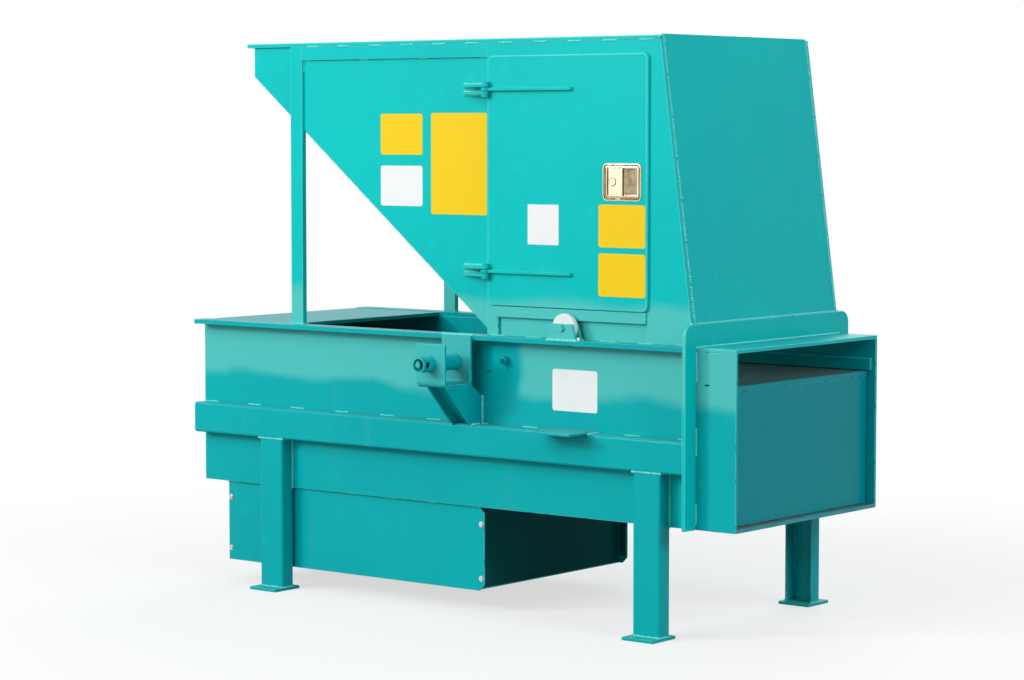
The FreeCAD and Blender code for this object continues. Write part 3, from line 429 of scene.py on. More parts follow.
finishes = {
    # chalked: how much painted sheen of the sun goes on -Y faces
    "teal": (tealEnamel("tealEnamel", "upper", 0.4, 0.15, 0.5, chalked=0.8), "teal_paint"),
    "tealLow": (tealEnamel("tealEnamelLow", "lower", 0.9, 0.35, 0.35), "teal_paint"),
    # on the wall the sheen stops between X 0.0 and 0.27, painting the pipe bracket's shadow
    "tealWall": (
        tealEnamel("tealEnamelWall", "lower", 0.9, 0.3, 0.35, chalked=0.8, kept=(0.0, 0.27)),
        "teal_paint",
    ),
    "tealFitting": (tealEnamel("tealEnamelFitting", "lower", 0.9, 0.3, 0.2, chalked=0.5), "teal_paint"),
    "tealRam": (tealEnamel("tealEnamelRam", "ram", 1.2, 0.4, 0.3), "teal_paint"),
    "tealShade": (tealEnamel("tealEnamelPaintedShade", "shade", 0.6, 0.15, 0.3, gloss=0.01), "teal_paint"),
    "bead": (tealEnamel("tealBeadHighlight", "bead", 0.0, 0.1, 0.0, gloss=0.30), "teal_paint"),
    "ramTop": (wornPlate("rubbedSteel", 0.15), "worn_steel"),
    "floorSteel": (wornPlate("rubbedFloor", 0.9), "worn_steel"),
    "zinc": (
        metalFinish("zincPlate", (0.62, 0.63, 0.64), (0.38, 0.39, 0.40), 0.30, scale=140.0),
        "zinc_steel",
    ),
    "latch": (latchMetal("polishedLatch"), "polished_latch"),
    "chrome": (
        metalFinish(
            "groundChrome", (0.78, 0.79, 0.80), (0.60, 0.61, 0.62), 0.10,
            grain=(0.4, 9.0, 9.0), scratch=0.05,
        ),
        "hard_chrome",
    ),
    "nylon": (mouldedNylon("mouldedNylon"), "white_nylon"),
    "grey": (dullPaint("greyEnamel", (0.22, 0.23, 0.24), (0.10, 0.10, 0.10), 0.5), "grey_enamel"),
    "cast": (dullPaint("castPump", (0.12, 0.12, 0.12), (0.05, 0.05, 0.05), 0.55), "cast_pump"),
    "black": (dullPaint("blackPaint", (0.03, 0.03, 0.03), (0.015, 0.015, 0.015), 0.45), "black_paint"),
}
labelYellow = vinyl("yellowVinyl", (0.90, 0.60, 0.0), (0.78, 0.55, 0.02))
labelWhite = vinyl("whiteVinyl", (0.86, 0.87, 0.87), (0.66, 0.66, 0.62))
print("finishes made")


def addPiece(name, mesh, body, finish, replaced=(), smoothAngle=50.0):
    # Puts a finished mesh in the scene, with its finish and body.
    mesh.name = name
    piece = bpy.data.objects.new(name, mesh)
    scene.collection.objects.link(piece)
    if smoothAngle:
        mesh.shade_smooth()
        mesh.set_sharp_from_angle(angle=math.radians(smoothAngle))
        weight = piece.modifiers.new("weight", "WEIGHTED_NORMAL")
        weight.keep_sharp = True
        graph = bpy.context.evaluated_depsgraph_get()
        settled = bpy.data.meshes.new_from_object(piece.evaluated_get(graph))
        piece.modifiers.remove(weight)
        piece.data = settled
        settled.name = name
    piece.data.materials.clear()
    piece.data.materials.append(finishes[finish][0] if finish in finishes else finish)
    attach(piece, body)
    finish in finishes
    if replaced:
        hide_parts(*replaced)
    return piece


def mergedCopy(node):
    # The node's triangles joined into whole faces.
    shape = bmesh.new()
    shape.from_mesh(nodes[node].data)
    bmesh.ops.remove_doubles(shape, verts=shape.verts, dist=2e-5)
    bmesh.ops.dissolve_limit(shape, angle_limit=math.radians(1.0), verts=shape.verts, edges=shape.edges)
    return shape


def sharpEdges(shape, angle=35.0):
    # Edges where two faces meet at more than an angle.
    least = math.radians(angle)
    return [e for e in shape.edges if len(e.link_faces) == 2 and e.calc_face_angle(0) > least]


def roundEdges(shape, edges, radius, steps, mark=True):
    # Rounds some edges, and marks the new faces, where paint can chip and a lighter painted highlight goes.
    layer = shape.faces.layers.float.get("edge") or shape.faces.layers.float.new("edge")
    made = bmesh.ops.bevel(
        shape, geom=edges, offset=radius, offset_type="OFFSET", segments=steps, profile=0.5,
        affect="EDGES", clamp_overlap=True,
    )
    if mark:
        for face in made["faces"]:
            face[layer] = 1.0


onFace = 5e-4  # how near a corner lies to the face it is on


def runsAlong(edge, axis):
    # Whether an edge follows an axis, given by its number.
    way = edge.verts[1].co - edge.verts[0].co
    return abs(way[axis]) > 0.98 * way.length


def softened(node, name, finish, radius=0.0018, steps=2, bend=None, bendRadius=0.008, bendWear=False):
    # A node's own shape with plate edges eased; bend picks the edges of a folded corner.
    shape = mergedCopy(node)
    if bend:
        roundEdges(shape, [e for e in sharpEdges(shape) if bend(e)], bendRadius, 5, mark=bendWear)
    roundEdges(shape, sharpEdges(shape), radius, steps)
    mesh = bpy.data.meshes.new(name)
    shape.to_mesh(mesh)
    shape.free()
    return addPiece(name, mesh, bodyOf[node], finish, (node,))


def outerCorner(node, axis):
    # Edges along an axis on the outermost faces in Y, both sides.
    low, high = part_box(node)
    reach = max(abs(low.y), abs(high.y))
    return lambda e: runsAlong(e, axis) and all(abs(abs(v.co.y) - reach) < onFace for v in e.verts)


plates = [
    {"node": "chamber_side_near", "finish": "tealWall"},
    {"node": "chamber_side_far", "finish": "tealLow"},
    {"node": "chamber_floor", "finish": "floorSteel"},
    {"node": "top_flanges", "finish": "tealLow", "radius": 0.002},
    {"node": "discharge_collar", "finish": "teal", "radius": 0.002},
    {"node": "snout_roof", "finish": "teal", "radius": 0.002},
    {"node": "ram_hold_down_bars", "finish": "tealLow"},
    {"node": "wiper_plate", "finish": "tealLow"},
    {"node": "rear_bulkhead", "finish": "tealLow"},
    {"node": "rear_cover", "finish": "tealLow"},
    {"node": "foot_plates", "finish": "tealLow", "radius": 0.0015},
    {"node": "hopper_side_near", "finish": "teal", "radius": 0.0012},
    {"node": "hopper_side_far", "finish": "teal", "radius": 0.0012},
    {"node": "hopper_chute_floor", "finish": "teal", "radius": 0.0012},
    {"node": "hopper_discharge_face", "finish": "teal", "radius": 0.0015},
    {"node": "hopper_rim", "finish": "teal", "radius": 0.003, "steps": 3},
    {"node": "hopper_posts", "finish": "teal", "radius": 0.002},
    {"node": "hopper_frame_bars", "finish": "teal", "radius": 0.002},
    {"node": "door_frame_plate", "finish": "teal", "radius": 0.002},
    {"node": "door_sill", "finish": "teal", "radius": 0.0015},
    {"node": "door_hinge_ears", "finish": "teal", "radius": 0.001},
    {"node": "door_hinge_straps", "finish": "teal", "radius": 0.001},
    {"node": "pipe_brackets", "finish": "tealFitting", "radius": 0.0025, "steps": 3},
    {"node": "pipe_braces", "finish": "tealLow", "radius": 0.0012},
    {"node": "roller_bracket", "finish": "teal", "radius": 0.0015},
    {"node": "shelf_plate", "finish": "tealLow", "radius": 0.0015},
    {"node": "ram_face_plate", "finish": "tealRam", "radius": 0.0018},
    {"node": "ram_top_plate", "finish": "ramTop", "radius": 0.0012},
    {"node": "ram_sides", "finish": "tealRam"},
    {"node": "ram_bottom_plate", "finish": "tealRam"},
    {"node": "ram_rear_frame", "finish": "tealRam"},
    {"node": "ram_shoes", "finish": "ramTop"},
    {"node": "ram_clevis_ears", "finish": "tealRam"},
    {"node": "rear_clevis", "finish": "tealRam"},
    {"node": "unit_tray", "finish": "tealLow", "radius": 0.0008},
    # the end panel takes painted shade
    {"node": "unit_end_panel", "finish": "tealShade", "radius": 0.0008},
    {"node": "unit_covers", "finish": "tealLow", "radius": 0.0012},
    {"node": "oil_tank", "finish": "grey", "radius": 0.001},
    {"node": "hydraulic_pump", "finish": "cast", "radius": 0.004, "steps": 3},
    {"node": "valve_block", "finish": "grey", "radius": 0.002},
    {"node": "cylinder_barrel", "finish": "black", "radius": 0.002},
    {"node": "ram_clevis_pin", "finish": "zinc", "radius": 0.001},
    {"node": "door_hinge_pins", "finish": "teal", "radius": 0.0008},
    {"node": "roller_bolt", "finish": "teal", "radius": 0.0008},
    {"node": "latch_tongue", "finish": "zinc", "radius": 0.001},
    {"node": "anchor_pipe_near", "finish": "tealFitting", "radius": 0.0006},
    {"node": "anchor_pipe_far", "finish": "tealFitting", "radius": 0.0006},
    {"node": "piston_rod", "finish": "chrome", "radius": 0.001},
    {"node": "motor_rotor", "finish": "black", "radius": 0.001},
]


def camelName(node):
    first, *rest = node.split("_")
    return first + "".join(word.capitalize() for word in rest)


eased = {}
for plate in plates:
    options = {key: plate[key] for key in ("radius", "steps") if key in plate}
    eased[plate["node"]] = softened(plate["node"], camelName(plate["node"]), plate["finish"], **options)
print("plates eased:", len(plates))

# The rod's visible copy is a hair slimmer, so that its flat facets clear those of the gland.
rodFit = {"share": 0.995, "neckLength": 0.0755}
barrelLow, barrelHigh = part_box("cylinder_barrel")
rodZ = (barrelLow.z + barrelHigh.z) / 2
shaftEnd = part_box("piston_rod")[1].x - rodFit["neckLength"]
for vertex in eased["piston_rod"].data.vertices:
    if vertex.co.x < shaftEnd:
        vertex.co.y *= rodFit["share"]
        vertex.co.z = rodZ + (vertex.co.z - rodZ) * rodFit["share"]

channels = {"bendRadius": 0.009, "radius": 0.0012}
for node, axis in (("front_legs", 2), ("rear_legs", 2), ("side_rails", 0)):
    softened(node, camelName(node), "tealLow", bend=outerCorner(node, axis), **channels)

doorSkin = {"bendRadius": 0.0045, "radius": 0.001}
doorBorder = {"left": 0.1, "around": 0.02}  # the latch opening lies further in
doorLow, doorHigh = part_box("door_panel")


def frontEdge(edge):
    # Edges round the door's front face, but not those of the latch opening.
    if any(abs(v.co.y - doorLow.y) >= onFace for v in edge.verts):
        return False
    first = edge.verts[0].co
    around = doorBorder["around"]
    inX = doorLow.x + doorBorder["left"] < first.x < doorHigh.x - around
    inZ = doorLow.z + around < first.z < doorHigh.z - around
    return not (inX and inZ)


# the door's rounded bends are marked too, so they take chips and the painted highlight
softened("door_panel", "doorPanel", "teal", bend=frontEdge, bendWear=True, **doorSkin)

latchParts = {"latch_pan": 0.0012, "latch_paddle": 0.0012, "latch_key_cylinder": 0.0006}
for node, radius in latchParts.items():
    softened(node, camelName(node), "latch", radius=radius, steps=3)
print("channels, door and latch made")


def applyTree(name, mesh, tree, values, body, finish, replaced=()):
    # Runs a tree on a mesh with named inputs and keeps the plain result.
    holder = bpy.data.objects.new(name + "Path", mesh)
    scene.collection.objects.link(holder)
    modifier = holder.modifiers.new("make", "NODES")
    modifier.node_group = tree
    for item in tree.interface.items_tree:
        if item.item_type == "SOCKET" and item.in_out == "INPUT" and item.name in values:
            modifier[item.identifier] = values[item.name]
    graph = bpy.context.evaluated_depsgraph_get()
    done = bpy.data.meshes.new_from_object(holder.evaluated_get(graph))
    holder.modifiers.remove(modifier)
    bpy.data.objects.remove(holder)
    return addPiece(name, done, body, finish, replaced, smoothAngle=0)


def newTree(name, inputs):
    # An empty Geometry Nodes tree with named inputs.
    tree = bpy.data.node_groups.new(name, "GeometryNodeTree")
    tree.interface.new_socket(name="Geometry", in_out="INPUT", socket_type="NodeSocketGeometry")
    for label, kind, value in inputs:
        socket = tree.interface.new_socket(name=label, in_out="INPUT", socket_type="NodeSocket" + kind)
        if value is not None:
            socket.default_value = value
    tree.interface.new_socket(name="Geometry", in_out="OUTPUT", socket_type="NodeSocketGeometry")
    entry = tree.nodes.new("NodeGroupInput")
    leave = tree.nodes.new("NodeGroupOutput")
    given = {socket.name: Sock(tree, socket) for socket in entry.outputs if socket.name}
    return tree, Sock(tree), given, leave


def beadTree():
    # Weld bead: overlapping ripples along every path.
    tree, add, given, leave = newTree(
        "weldBead",
        [
            ("Radius", "Float", 0.004),
            ("Pitch", "Float", 0.006),
            ("Seed", "Int", 1),
            ("Material", "Material", None),
        ],
    )
    curve = add.node("GeometryNodeMeshToCurve", None, {"Mesh": given["Geometry"]})
    curve = add.node(
        "GeometryNodeResampleCurve", {"mode": "LENGTH"}, {"Curve": curve, "Length": given["Pitch"]}
    )
    ripple = add.node(
        "GeometryNodeMeshUVSphere", None, {"Segments": 8, "Rings": 5, "Radius": given["Radius"]}
    )
    ripple = add.node("GeometryNodeTransform", None, {"Geometry": ripple, "Scale": (0.95, 1.0, 1.0)})
    along = add.node("GeometryNodeInputTangent")
    turn = add.node("FunctionNodeAlignRotationToVector", {"axis": "X"}, {"Vector": along})
    size = add.node(
        "FunctionNodeRandomValue", {"data_type": "FLOAT"}, {2: 0.82, 3: 1.12, "Seed": given["Seed"]}, 1
    )
    many = add.node(
        "GeometryNodeInstanceOnPoints", None,
        {"Points": curve, "Instance": ripple, "Rotation": turn, "Scale": size},
    )
    many = add.node("GeometryNodeRealizeInstances", None, {"Geometry": many})
    many = add.node("GeometryNodeSetShadeSmooth", None, {"Geometry": many})
    many = add.node("GeometryNodeSetMaterial", None, {"Geometry": many, "Material": given["Material"]})
    tree.links.new(many.socket, leave.inputs[0])
    return tree


def screwTree():
    # Hex heads on washers at every point, facing along Y away from the middle.
    tree, add, given, leave = newTree(
        "hexScrews",
        [
            ("Across", "Float", 0.013),
            ("Height", "Float", 0.005),
            ("Washer", "Float", 0.010),
            ("Seed", "Int", 3),
            ("Material", "Material", None),
        ],
    )

    def disc(sides, radius, share, lift):
        # One slice of the screw: its share of the height, with its middle at lift of it.
        size = {"Vertices": sides, "Radius": radius, "Depth": given["Height"] * share}
        slab = add.node("GeometryNodeMeshCylinder", None, size)
        raised = add.node("ShaderNodeCombineXYZ", None, {"Z": given["Height"] * lift})
        return add.node("GeometryNodeTransform", None, {"Geometry": slab, "Translation": raised})

    head = disc(6, given["Across"] * 0.577, 0.7, 0.65)
    washer = disc(20, given["Washer"], 0.3, 0.15)
    both = add.node("GeometryNodeJoinGeometry", None, {0: head})
    tree.links.new(washer.socket, both.socket.node.inputs[0])
    place = add.node("GeometryNodeInputPosition")
    side = add.node("ShaderNodeVectorMath", {"operation": "MULTIPLY"}, {0: place, 1: (0.0, 1.0, 0.0)})
    turn = add.node("FunctionNodeAlignRotationToVector", {"axis": "Z"}, {"Vector": side})
    spin = add.node(
        "FunctionNodeRandomValue", {"data_type": "FLOAT"}, {2: 0.0, 3: 1.0, "Seed": given["Seed"]}, 1
    )
    twist = add.node("FunctionNodeAxisAngleToRotation", None, {"Axis": (0.0, 0.0, 1.0), "Angle": spin})
    turn = add.node("FunctionNodeRotateRotation", {"rotation_space": "LOCAL"}, {0: turn, 1: twist})
    many = add.node(
        "GeometryNodeInstanceOnPoints", None,
        {"Points": given["Geometry"], "Instance": both, "Rotation": turn},
    )
    many = add.node("GeometryNodeRealizeInstances", None, {"Geometry": many})
    many = add.node("GeometryNodeSetMaterial", None, {"Geometry": many, "Material": given["Material"]})
    tree.links.new(many.socket, leave.inputs[0])
    return tree


def pathMesh(name, runs):
    # Loose edges through each run of points.
    verts, edges = [], []
    for run in runs:
        edges += [(len(verts) + i, len(verts) + i + 1) for i in range(len(run) - 1)]
        verts += [tuple(point) for point in run]
    mesh = bpy.data.meshes.new(name)
    mesh.from_pydata(verts, edges, [])
    return mesh


def stitches(start, end, length, pitch):
    # Short welds spaced evenly between two points.
    start, end = Vector(start), Vector(end)
    whole = (end - start).length
    count = max(1, int((whole - length) / pitch) + 1)
    step = (whole - length) / max(1, count - 1)
    way = (end - start).normalized()
    return [(start + way * i * step, start + way * (i * step + length)) for i in range(count)]


def bothSides(runs):
    # The same runs again on the far side.
    return runs + [[(x, -y, z) for x, y, z in run] for run in runs]


# Where the weld beads run; each broken run has the length of one weld and their spacing.
welds = {
    "radius": 0.0042,
    "heavy": 0.0055,  # radius of the fittings' beads
    "pitch": 0.0075,  # from ripple to ripple
    "rim": (0.045, 0.125),
    "beam": (0.03, 0.21),
    "discharge": (0.11, 0.118),
    "doorFoot": (0.05, 0.14),
    "collar": (0.06, 0.115),
    "flange": (0.05, 0.16),
    "rail": (0.05, 0.19),
    "unit": (0.03, 0.16),
    "beamDrop": 0.044,  # below the rim
    "slopeDrop": 0.095,  # below the rim, where the slope ends
    "postWeld": 0.84,  # above the post's foot
    "braceShy": 0.060,  # below the brace's top
    "snout": ((0.794, 0.878), (0.570, 0.648), (0.363, 0.420)),  # heights, low and high
}
beads = beadTree()
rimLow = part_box("hopper_rim")[0]
barLow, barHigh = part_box("door_frame_plate")
postLow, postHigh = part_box("hopper_posts")
faceLow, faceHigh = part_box("hopper_discharge_face")
collarLow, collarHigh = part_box("discharge_collar")
wallLow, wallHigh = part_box("chamber_side_near")
railLow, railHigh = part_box("side_rails")
flangeLow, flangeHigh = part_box("top_flanges")
roofLow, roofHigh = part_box("snout_roof")
chuteLow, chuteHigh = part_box("hopper_chute_floor")
panelY = barHigh.y  # outer face of the near side sheet
frameY = barLow.y
innerY = faceLow.y
wallY = wallLow.y
backX = collarLow.x
hopperRuns = []
rimStart = (postHigh.x + 0.03, frameY, rimLow.z)
rimEnd = (faceLow.x - 0.02, frameY, rimLow.z)
hopperRuns += stitches(rimStart, rimEnd, *welds["rim"])
for x in (postLow.x, postHigh.x):
    hopperRuns.append([(x, panelY, postLow.z + welds["postWeld"]), (x, panelY, rimLow.z)])
hopperRuns.append([(postLow.x, frameY, postLow.z), (postHigh.x, frameY, postLow.z)])
hopperRuns.append([(postHigh.x, frameY, postLow.z), (postHigh.x, postLow.y + 0.02, postLow.z)])
beamZ = rimLow.z - welds["beamDrop"]
hopperRuns += stitches((postHigh.x, panelY, beamZ), (barLow.x, panelY, beamZ), *welds["beam"])
faceTop = (faceLow.x + 0.008, innerY, faceHigh.z - 0.007)
hopperRuns += stitches((backX, innerY, collarHigh.z), faceTop, *welds["discharge"])
hopperRuns.append([(backX, frameY, flangeHigh.z), (backX, frameY, collarHigh.z)])
slopeTop = (chuteLow.x, innerY, rimLow.z - welds["slopeDrop"])
hopperRuns.append([(chuteHigh.x, innerY, flangeHigh.z), slopeTop, (chuteLow.x, innerY, rimLow.z)])
footStart, footEnd = (barLow.x + 0.02, frameY, flangeHigh.z), (backX, frameY, flangeHigh.z)
hopperRuns += stitches(footStart, footEnd, *welds["doorFoot"])
hopperRuns = bothSides(hopperRuns)
hopperRuns.append([(barLow.x, panelY, flangeHigh.z), (barLow.x, panelY, beamZ)])
hopperRuns.append([(backX, innerY, collarHigh.z), (backX, -innerY, collarHigh.z)])

chamberRuns = []
for low, high in welds["snout"]:
    chamberRuns.append([(collarHigh.x, wallY, low), (collarHigh.x, wallY, high)])
startX = wallLow.x + 0.01
chamberRuns += stitches((backX, wallY, wallLow.z), (backX, wallY, flangeLow.z), *welds["collar"])
chamberRuns += stitches((startX, wallY, flangeLow.z), (backX, wallY, flangeLow.z), *welds["flange"])
for z in (railLow.z, railHigh.z):
    chamberRuns += stitches((startX, wallY, z), (backX, wallY, z), *welds["rail"])
    chamberRuns.append([(backX, railLow.y, z), (backX, wallY, z)])
chamberRuns.append([(backX, railLow.y, railLow.z), (backX, railLow.y, railHigh.z)])
chamberRuns.append([(backX, flangeLow.y, flangeLow.z), (backX, flangeLow.y, flangeHigh.z)])
chamberRuns.append([(collarHigh.x, wallY + 0.01, roofLow.z), (wallHigh.x - 0.007, wallY + 0.01, roofLow.z)])
chamberRuns = bothSides(chamberRuns)
chamberRuns.append([(collarHigh.x, wallY, roofHigh.z), (collarHigh.x, -wallY, roofHigh.z)])

legRuns = []
for node in ("front_legs", "rear_legs"):
    low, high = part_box(node)
    for z in (low.z, high.z):
        legRuns.append([(low.x, low.y, z), (high.x, low.y, z)])
        for x in (low.x, high.x):
            legRuns.append([(x, low.y, z), (x, wallY, z)])
    for x in (low.x, high.x):
        legRuns.append([(x, wallY, wallLow.z), (x, wallY, high.z)])
unitLow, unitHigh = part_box("unit_covers")
unitTop = [(x, unitLow.y, unitHigh.z) for x in (unitLow.x, unitHigh.x - 0.02)]
legRuns += stitches(*unitTop, *welds["unit"])
legRuns = bothSides(legRuns)

braceLow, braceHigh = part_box("pipe_braces")
eyeLow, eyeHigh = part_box("pipe_brackets")
shelfLow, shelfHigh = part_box("shelf_plate")
fittingRuns = [[(eyeLow.x, flangeLow.y, flangeHigh.z), (eyeHigh.x, flangeLow.y, flangeHigh.z)]]
for x in (braceLow.x, braceHigh.x):
    fittingRuns.append([(x, wallY, railHigh.z), (x, wallY, braceHigh.z - welds["braceShy"])])
    fittingRuns.append([(x, wallY - 0.02, railHigh.z), (x, flangeLow.y, railHigh.z)])
fittingRuns = bothSides(fittingRuns)
for x in (shelfLow.x, shelfHigh.x):
    fittingRuns.append([(x, flangeLow.y, railHigh.z), (x, wallY, railHigh.z)])
rollerLow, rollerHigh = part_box("roller_bracket")
for y in (rollerLow.y, rollerHigh.y):
    fittingRuns.append([(rollerLow.x, y, flangeHigh.z), (rollerHigh.x, y, flangeHigh.z)])


def islands(node):
    # Low and high corners of each loose part of a node, in the same order in every run.
    shape = mergedCopy(node)
    left, found = set(shape.verts), []
    while left:
        stack, part = [left.pop()], []
        while stack:
            vert = stack.pop()
            part.append(vert.co.copy())
            for edge in vert.link_edges:
                other = edge.other_vert(vert)
                if other in left:
                    left.discard(other)
                    stack.append(other)
        found.append((Vector(map(min, zip(*part))), Vector(map(max, zip(*part)))))
    shape.free()
    return sorted(found, key=lambda corners: [round(value, 4) for value in corners[0]])


for low, high in islands("door_hinge_ears"):
    for z in (low.z, high.z):
        fittingRuns.append([(low.x + 0.004, panelY, z), (barLow.x - 0.003, panelY, z)])

beadSets = {
    "hopperWelds": (hopperRuns, welds["radius"], 4, "bead"),
    "chamberWelds": (chamberRuns, welds["radius"], 5, "bead"),
    "legWelds": (legRuns, welds["radius"], 6, "bead"),
    "fittingWelds": (fittingRuns, welds["heavy"], 7, "bead"),
}
for name, (runs, radius, seed, finish) in beadSets.items():
    values = {"Radius": radius, "Pitch": welds["pitch"], "Seed": seed, "Material": finishes[finish][0]}
    piece = applyTree(name, pathMesh(name, runs), beads, values, "frame", finish)
    print(name, len(runs), "runs,", len(piece.data.polygons), "faces")

# Screws of the covers, and the studs through the walls.
coverScrews = {"Across": 0.013, "Height": 0.0048, "Washer": 0.0098, "Seed": 3}
screws = screwTree()
points = []
for low, high in islands("unit_cover_bolts"):
    y = low.y if low.y > 0 else high.y
    points.append(((low.x + high.x) / 2, y, (low.z + high.z) / 2))
pointMesh = bpy.data.meshes.new("screwPoints")
pointMesh.from_pydata(points, [], [])
values = dict(coverScrews, Material=finishes["zinc"][0])
applyTree("unitCoverScrews", pointMesh, screws, values, "frame", "zinc", ("unit_cover_bolts",))
wallStuds = {
    "place": (0.196, 0.819),  # X and Z
    "wallNuts": {"Across": 0.024, "Height": 0.018, "Washer": 0.015, "Seed": 2},
    "wallStudEnds": {"Across": 0.0125, "Height": 0.040, "Washer": 0.007, "Seed": 5},
}
pointMesh = bpy.data.meshes.new("studPoints")
studX, studZ = wallStuds["place"]
pointMesh.from_pydata([(studX, side * abs(wallY), studZ) for side in (-1, 1)], [], [])
for name in ("wallNuts", "wallStudEnds"):
    values = dict(wallStuds[name], Material=finishes["tealLow"][0])
    applyTree(name, pointMesh, screws, values, "frame", "tealLow")


def turned(name, profile, middle, body, finish, replaced=(), sides=64):
    # A piece turned round Y: profile points are (radius, along the axis), closed round.
    shape = bmesh.new()
    count = len(profile)
    rings = []
    for step in range(sides):
        angle = 2 * math.pi * step / sides
        ring = []
        for radius, along in profile:
            point = Vector((radius * math.cos(angle), along, radius * math.sin(angle)))
            ring.append(shape.verts.new(point + Vector(middle)))
        rings.append(ring)
    for step in range(sides):
        this, following = rings[step], rings[(step + 1) % sides]
        for place in range(count):
            after = (place + 1) % count
            shape.faces.new((this[place], this[after], following[after], following[place]))
    bmesh.ops.recalc_face_normals(shape, faces=shape.faces)
    mesh = bpy.data.meshes.new(name)
    shape.to_mesh(mesh)
    shape.free()
    return addPiece(name, mesh, body, finish, replaced, smoothAngle=30.0)


rollerShape = {"bore": 0.0065, "hub": 0.016, "rim": 0.034, "web": 0.0008, "ease": 0.0022}
low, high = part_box("guide_roller")
middle = (low + high) / 2
outer, half, bore = (high.x - low.x) / 2, (high.y - low.y) / 2, rollerShape["bore"]
ease, web = rollerShape["ease"], half - rollerShape["web"]
hub, rim = rollerShape["hub"], rollerShape["rim"]
side = [
    (bore, half), (hub, half), (hub + 0.002, web), (rim - 0.002, web), (rim, half),
    (outer - ease, half), (outer - 0.3 * ease, half - 0.3 * ease), (outer, half - ease),
]
profile = side + [(radius, -along) for radius, along in reversed(side)]
turned("guideRoller", profile, middle, "guide_roller", "nylon", ("guide_roller",))
print("welds, screws and roller made")

# Labels, left blank.
labels = [
    {"name": "labelStarts", "x": (-0.327, -0.149), "z": (1.463, 1.595), "on": "panel", "stock": "yellow"},
    {"name": "labelHands", "x": (-0.327, -0.149), "z": (1.298, 1.428), "on": "panel", "stock": "white"},
    {"name": "labelRules", "x": (-0.113, 0.118), "z": (1.274, 1.597), "on": "panel", "stock": "yellow"},
    {
        "name": "labelSquare", "x": (0.299, 0.421), "z": (1.188, 1.313), "on": "door", "stock": "white",
        "corner": 0.0004,
    },
    {"name": "labelGateUpper", "x": (0.575, 0.751), "z": (1.186, 1.317), "on": "door", "stock": "yellow"},
    {"name": "labelGateLower", "x": (0.575, 0.752), "z": (1.036, 1.168), "on": "door", "stock": "yellow"},
    {"name": "labelPins", "x": (0.381, 0.556), "z": (0.673, 0.803), "on": "wall", "stock": "white"},
]
labelCorner = 0.008
labelPlanes = {"panel": (panelY, "frame"), "door": (doorLow.y, "access_door"), "wall": (wallY, "frame")}


def labelMesh(x, z, face, corner, thick=0.0006, easing=0.0004):
    # A thin sheet with round corners and an eased rim, standing on a face that looks along -Y.
    shape = bmesh.new()
    loop = []
    for cx, cz, first in ((x[1], z[1], 0), (x[0], z[1], 90), (x[0], z[0], 180), (x[1], z[0], 270)):
        middle = (cx - math.copysign(corner, cx - sum(x) / 2), cz - math.copysign(corner, cz - sum(z) / 2))
        for step in range(5):
            angle = math.radians(first + 22.5 * step)
            across = middle[0] + corner * math.cos(angle)
            up = middle[1] + corner * math.sin(angle)
            loop.append(shape.verts.new((across, face, up)))
    base = shape.faces.new(loop)
    made = bmesh.ops.extrude_face_region(shape, geom=[base])
    for vert in (v for v in made["geom"] if isinstance(v, bmesh.types.BMVert)):
        vert.co.y = face - thick
    bmesh.ops.recalc_face_normals(shape, faces=shape.faces)
    front = [e for e in shape.edges if all(abs(v.co.y - face + thick) < 1e-6 for v in e.verts)]
    roundEdges(shape, front, easing, 1)
    mesh = bpy.data.meshes.new("label")
    shape.to_mesh(mesh)
    shape.free()
    return mesh


# Thin dark sheets on the walls as painted shade of slots, and one white plug.
slots = [
    {"name": "wallSlotShade", "x": (0.117, 0.136), "z": (0.778, 0.784), "face": wallY},
    {"name": "snoutSlot", "x": (0.957, 0.975), "z": (0.780, 0.786), "face": wallY},
    {"name": "farSlot", "x": (0.948, 0.972), "z": (0.790, 0.800), "face": abs(wallY) - 0.010},
    {"name": "plug", "x": (0.511, 0.521), "z": (0.898, 0.908), "face": flangeLow.y + 0.006},
]
slotCorner = 0.002
for slot in slots:
    finish = "nylon" if slot["name"] == "plug" else "tealShade"
    mesh = labelMesh(slot["x"], slot["z"], slot["face"], slotCorner)
    addPiece(slot["name"], mesh, "frame", finish, smoothAngle=0)


def roundedLoop(shape, centre, half, corner, face, steps=4):
    # One closed loop of a rounded rectangle that faces -Y.
    loop = []
    for signX, signZ, first in ((1, 1, 0), (-1, 1, 90), (-1, -1, 180), (1, -1, 270)):
        for step in range(steps + 1):
            angle = math.radians(first + 90 * step / steps)
            x = centre[0] + signX * (half[0] - corner) + corner * math.cos(angle)
            z = centre[1] + signZ * (half[1] - corner) + corner * math.sin(angle)
            loop.append(shape.verts.new((x, face, z)))
    return loop


def pressedPlate(name, centre, half, corner, face, rings, floorOn):
    # A pressed plate on the door, from nested loops: (inset, height towards the front, mark for painted
    # reflection and shade).
    shape = bmesh.new()
    mark = shape.faces.layers.float.new("groove")
    loops = []
    for inset, rise, _ in rings:
        size = (half[0] - inset, half[1] - inset)
        loops.append(roundedLoop(shape, centre, size, max(corner - inset, 0.002), face - rise))
    for place in range(len(loops) - 1):
        this, following = loops[place], loops[place + 1]
        for step in range(len(this)):
            after = (step + 1) % len(this)
            made = shape.faces.new((this[step], this[after], following[after], following[step]))
            made[mark] = rings[place + 1][2]
    if floorOn:
        made = shape.faces.new(loops[-1])
        made[mark] = rings[-1][2]
    bmesh.ops.recalc_face_normals(shape, faces=shape.faces)
    aim = Vector((centre[0], face, centre[1]))
    middle = min(shape.faces, key=lambda f: (f.calc_center_median() - aim).length)
    if middle.normal.y > 0:
        bmesh.ops.reverse_faces(shape, faces=shape.faces)
    mesh = bpy.data.meshes.new(name)
    shape.to_mesh(mesh)
    shape.free()
    return addPiece(name, mesh, "access_door", "latch", smoothAngle=40.0)


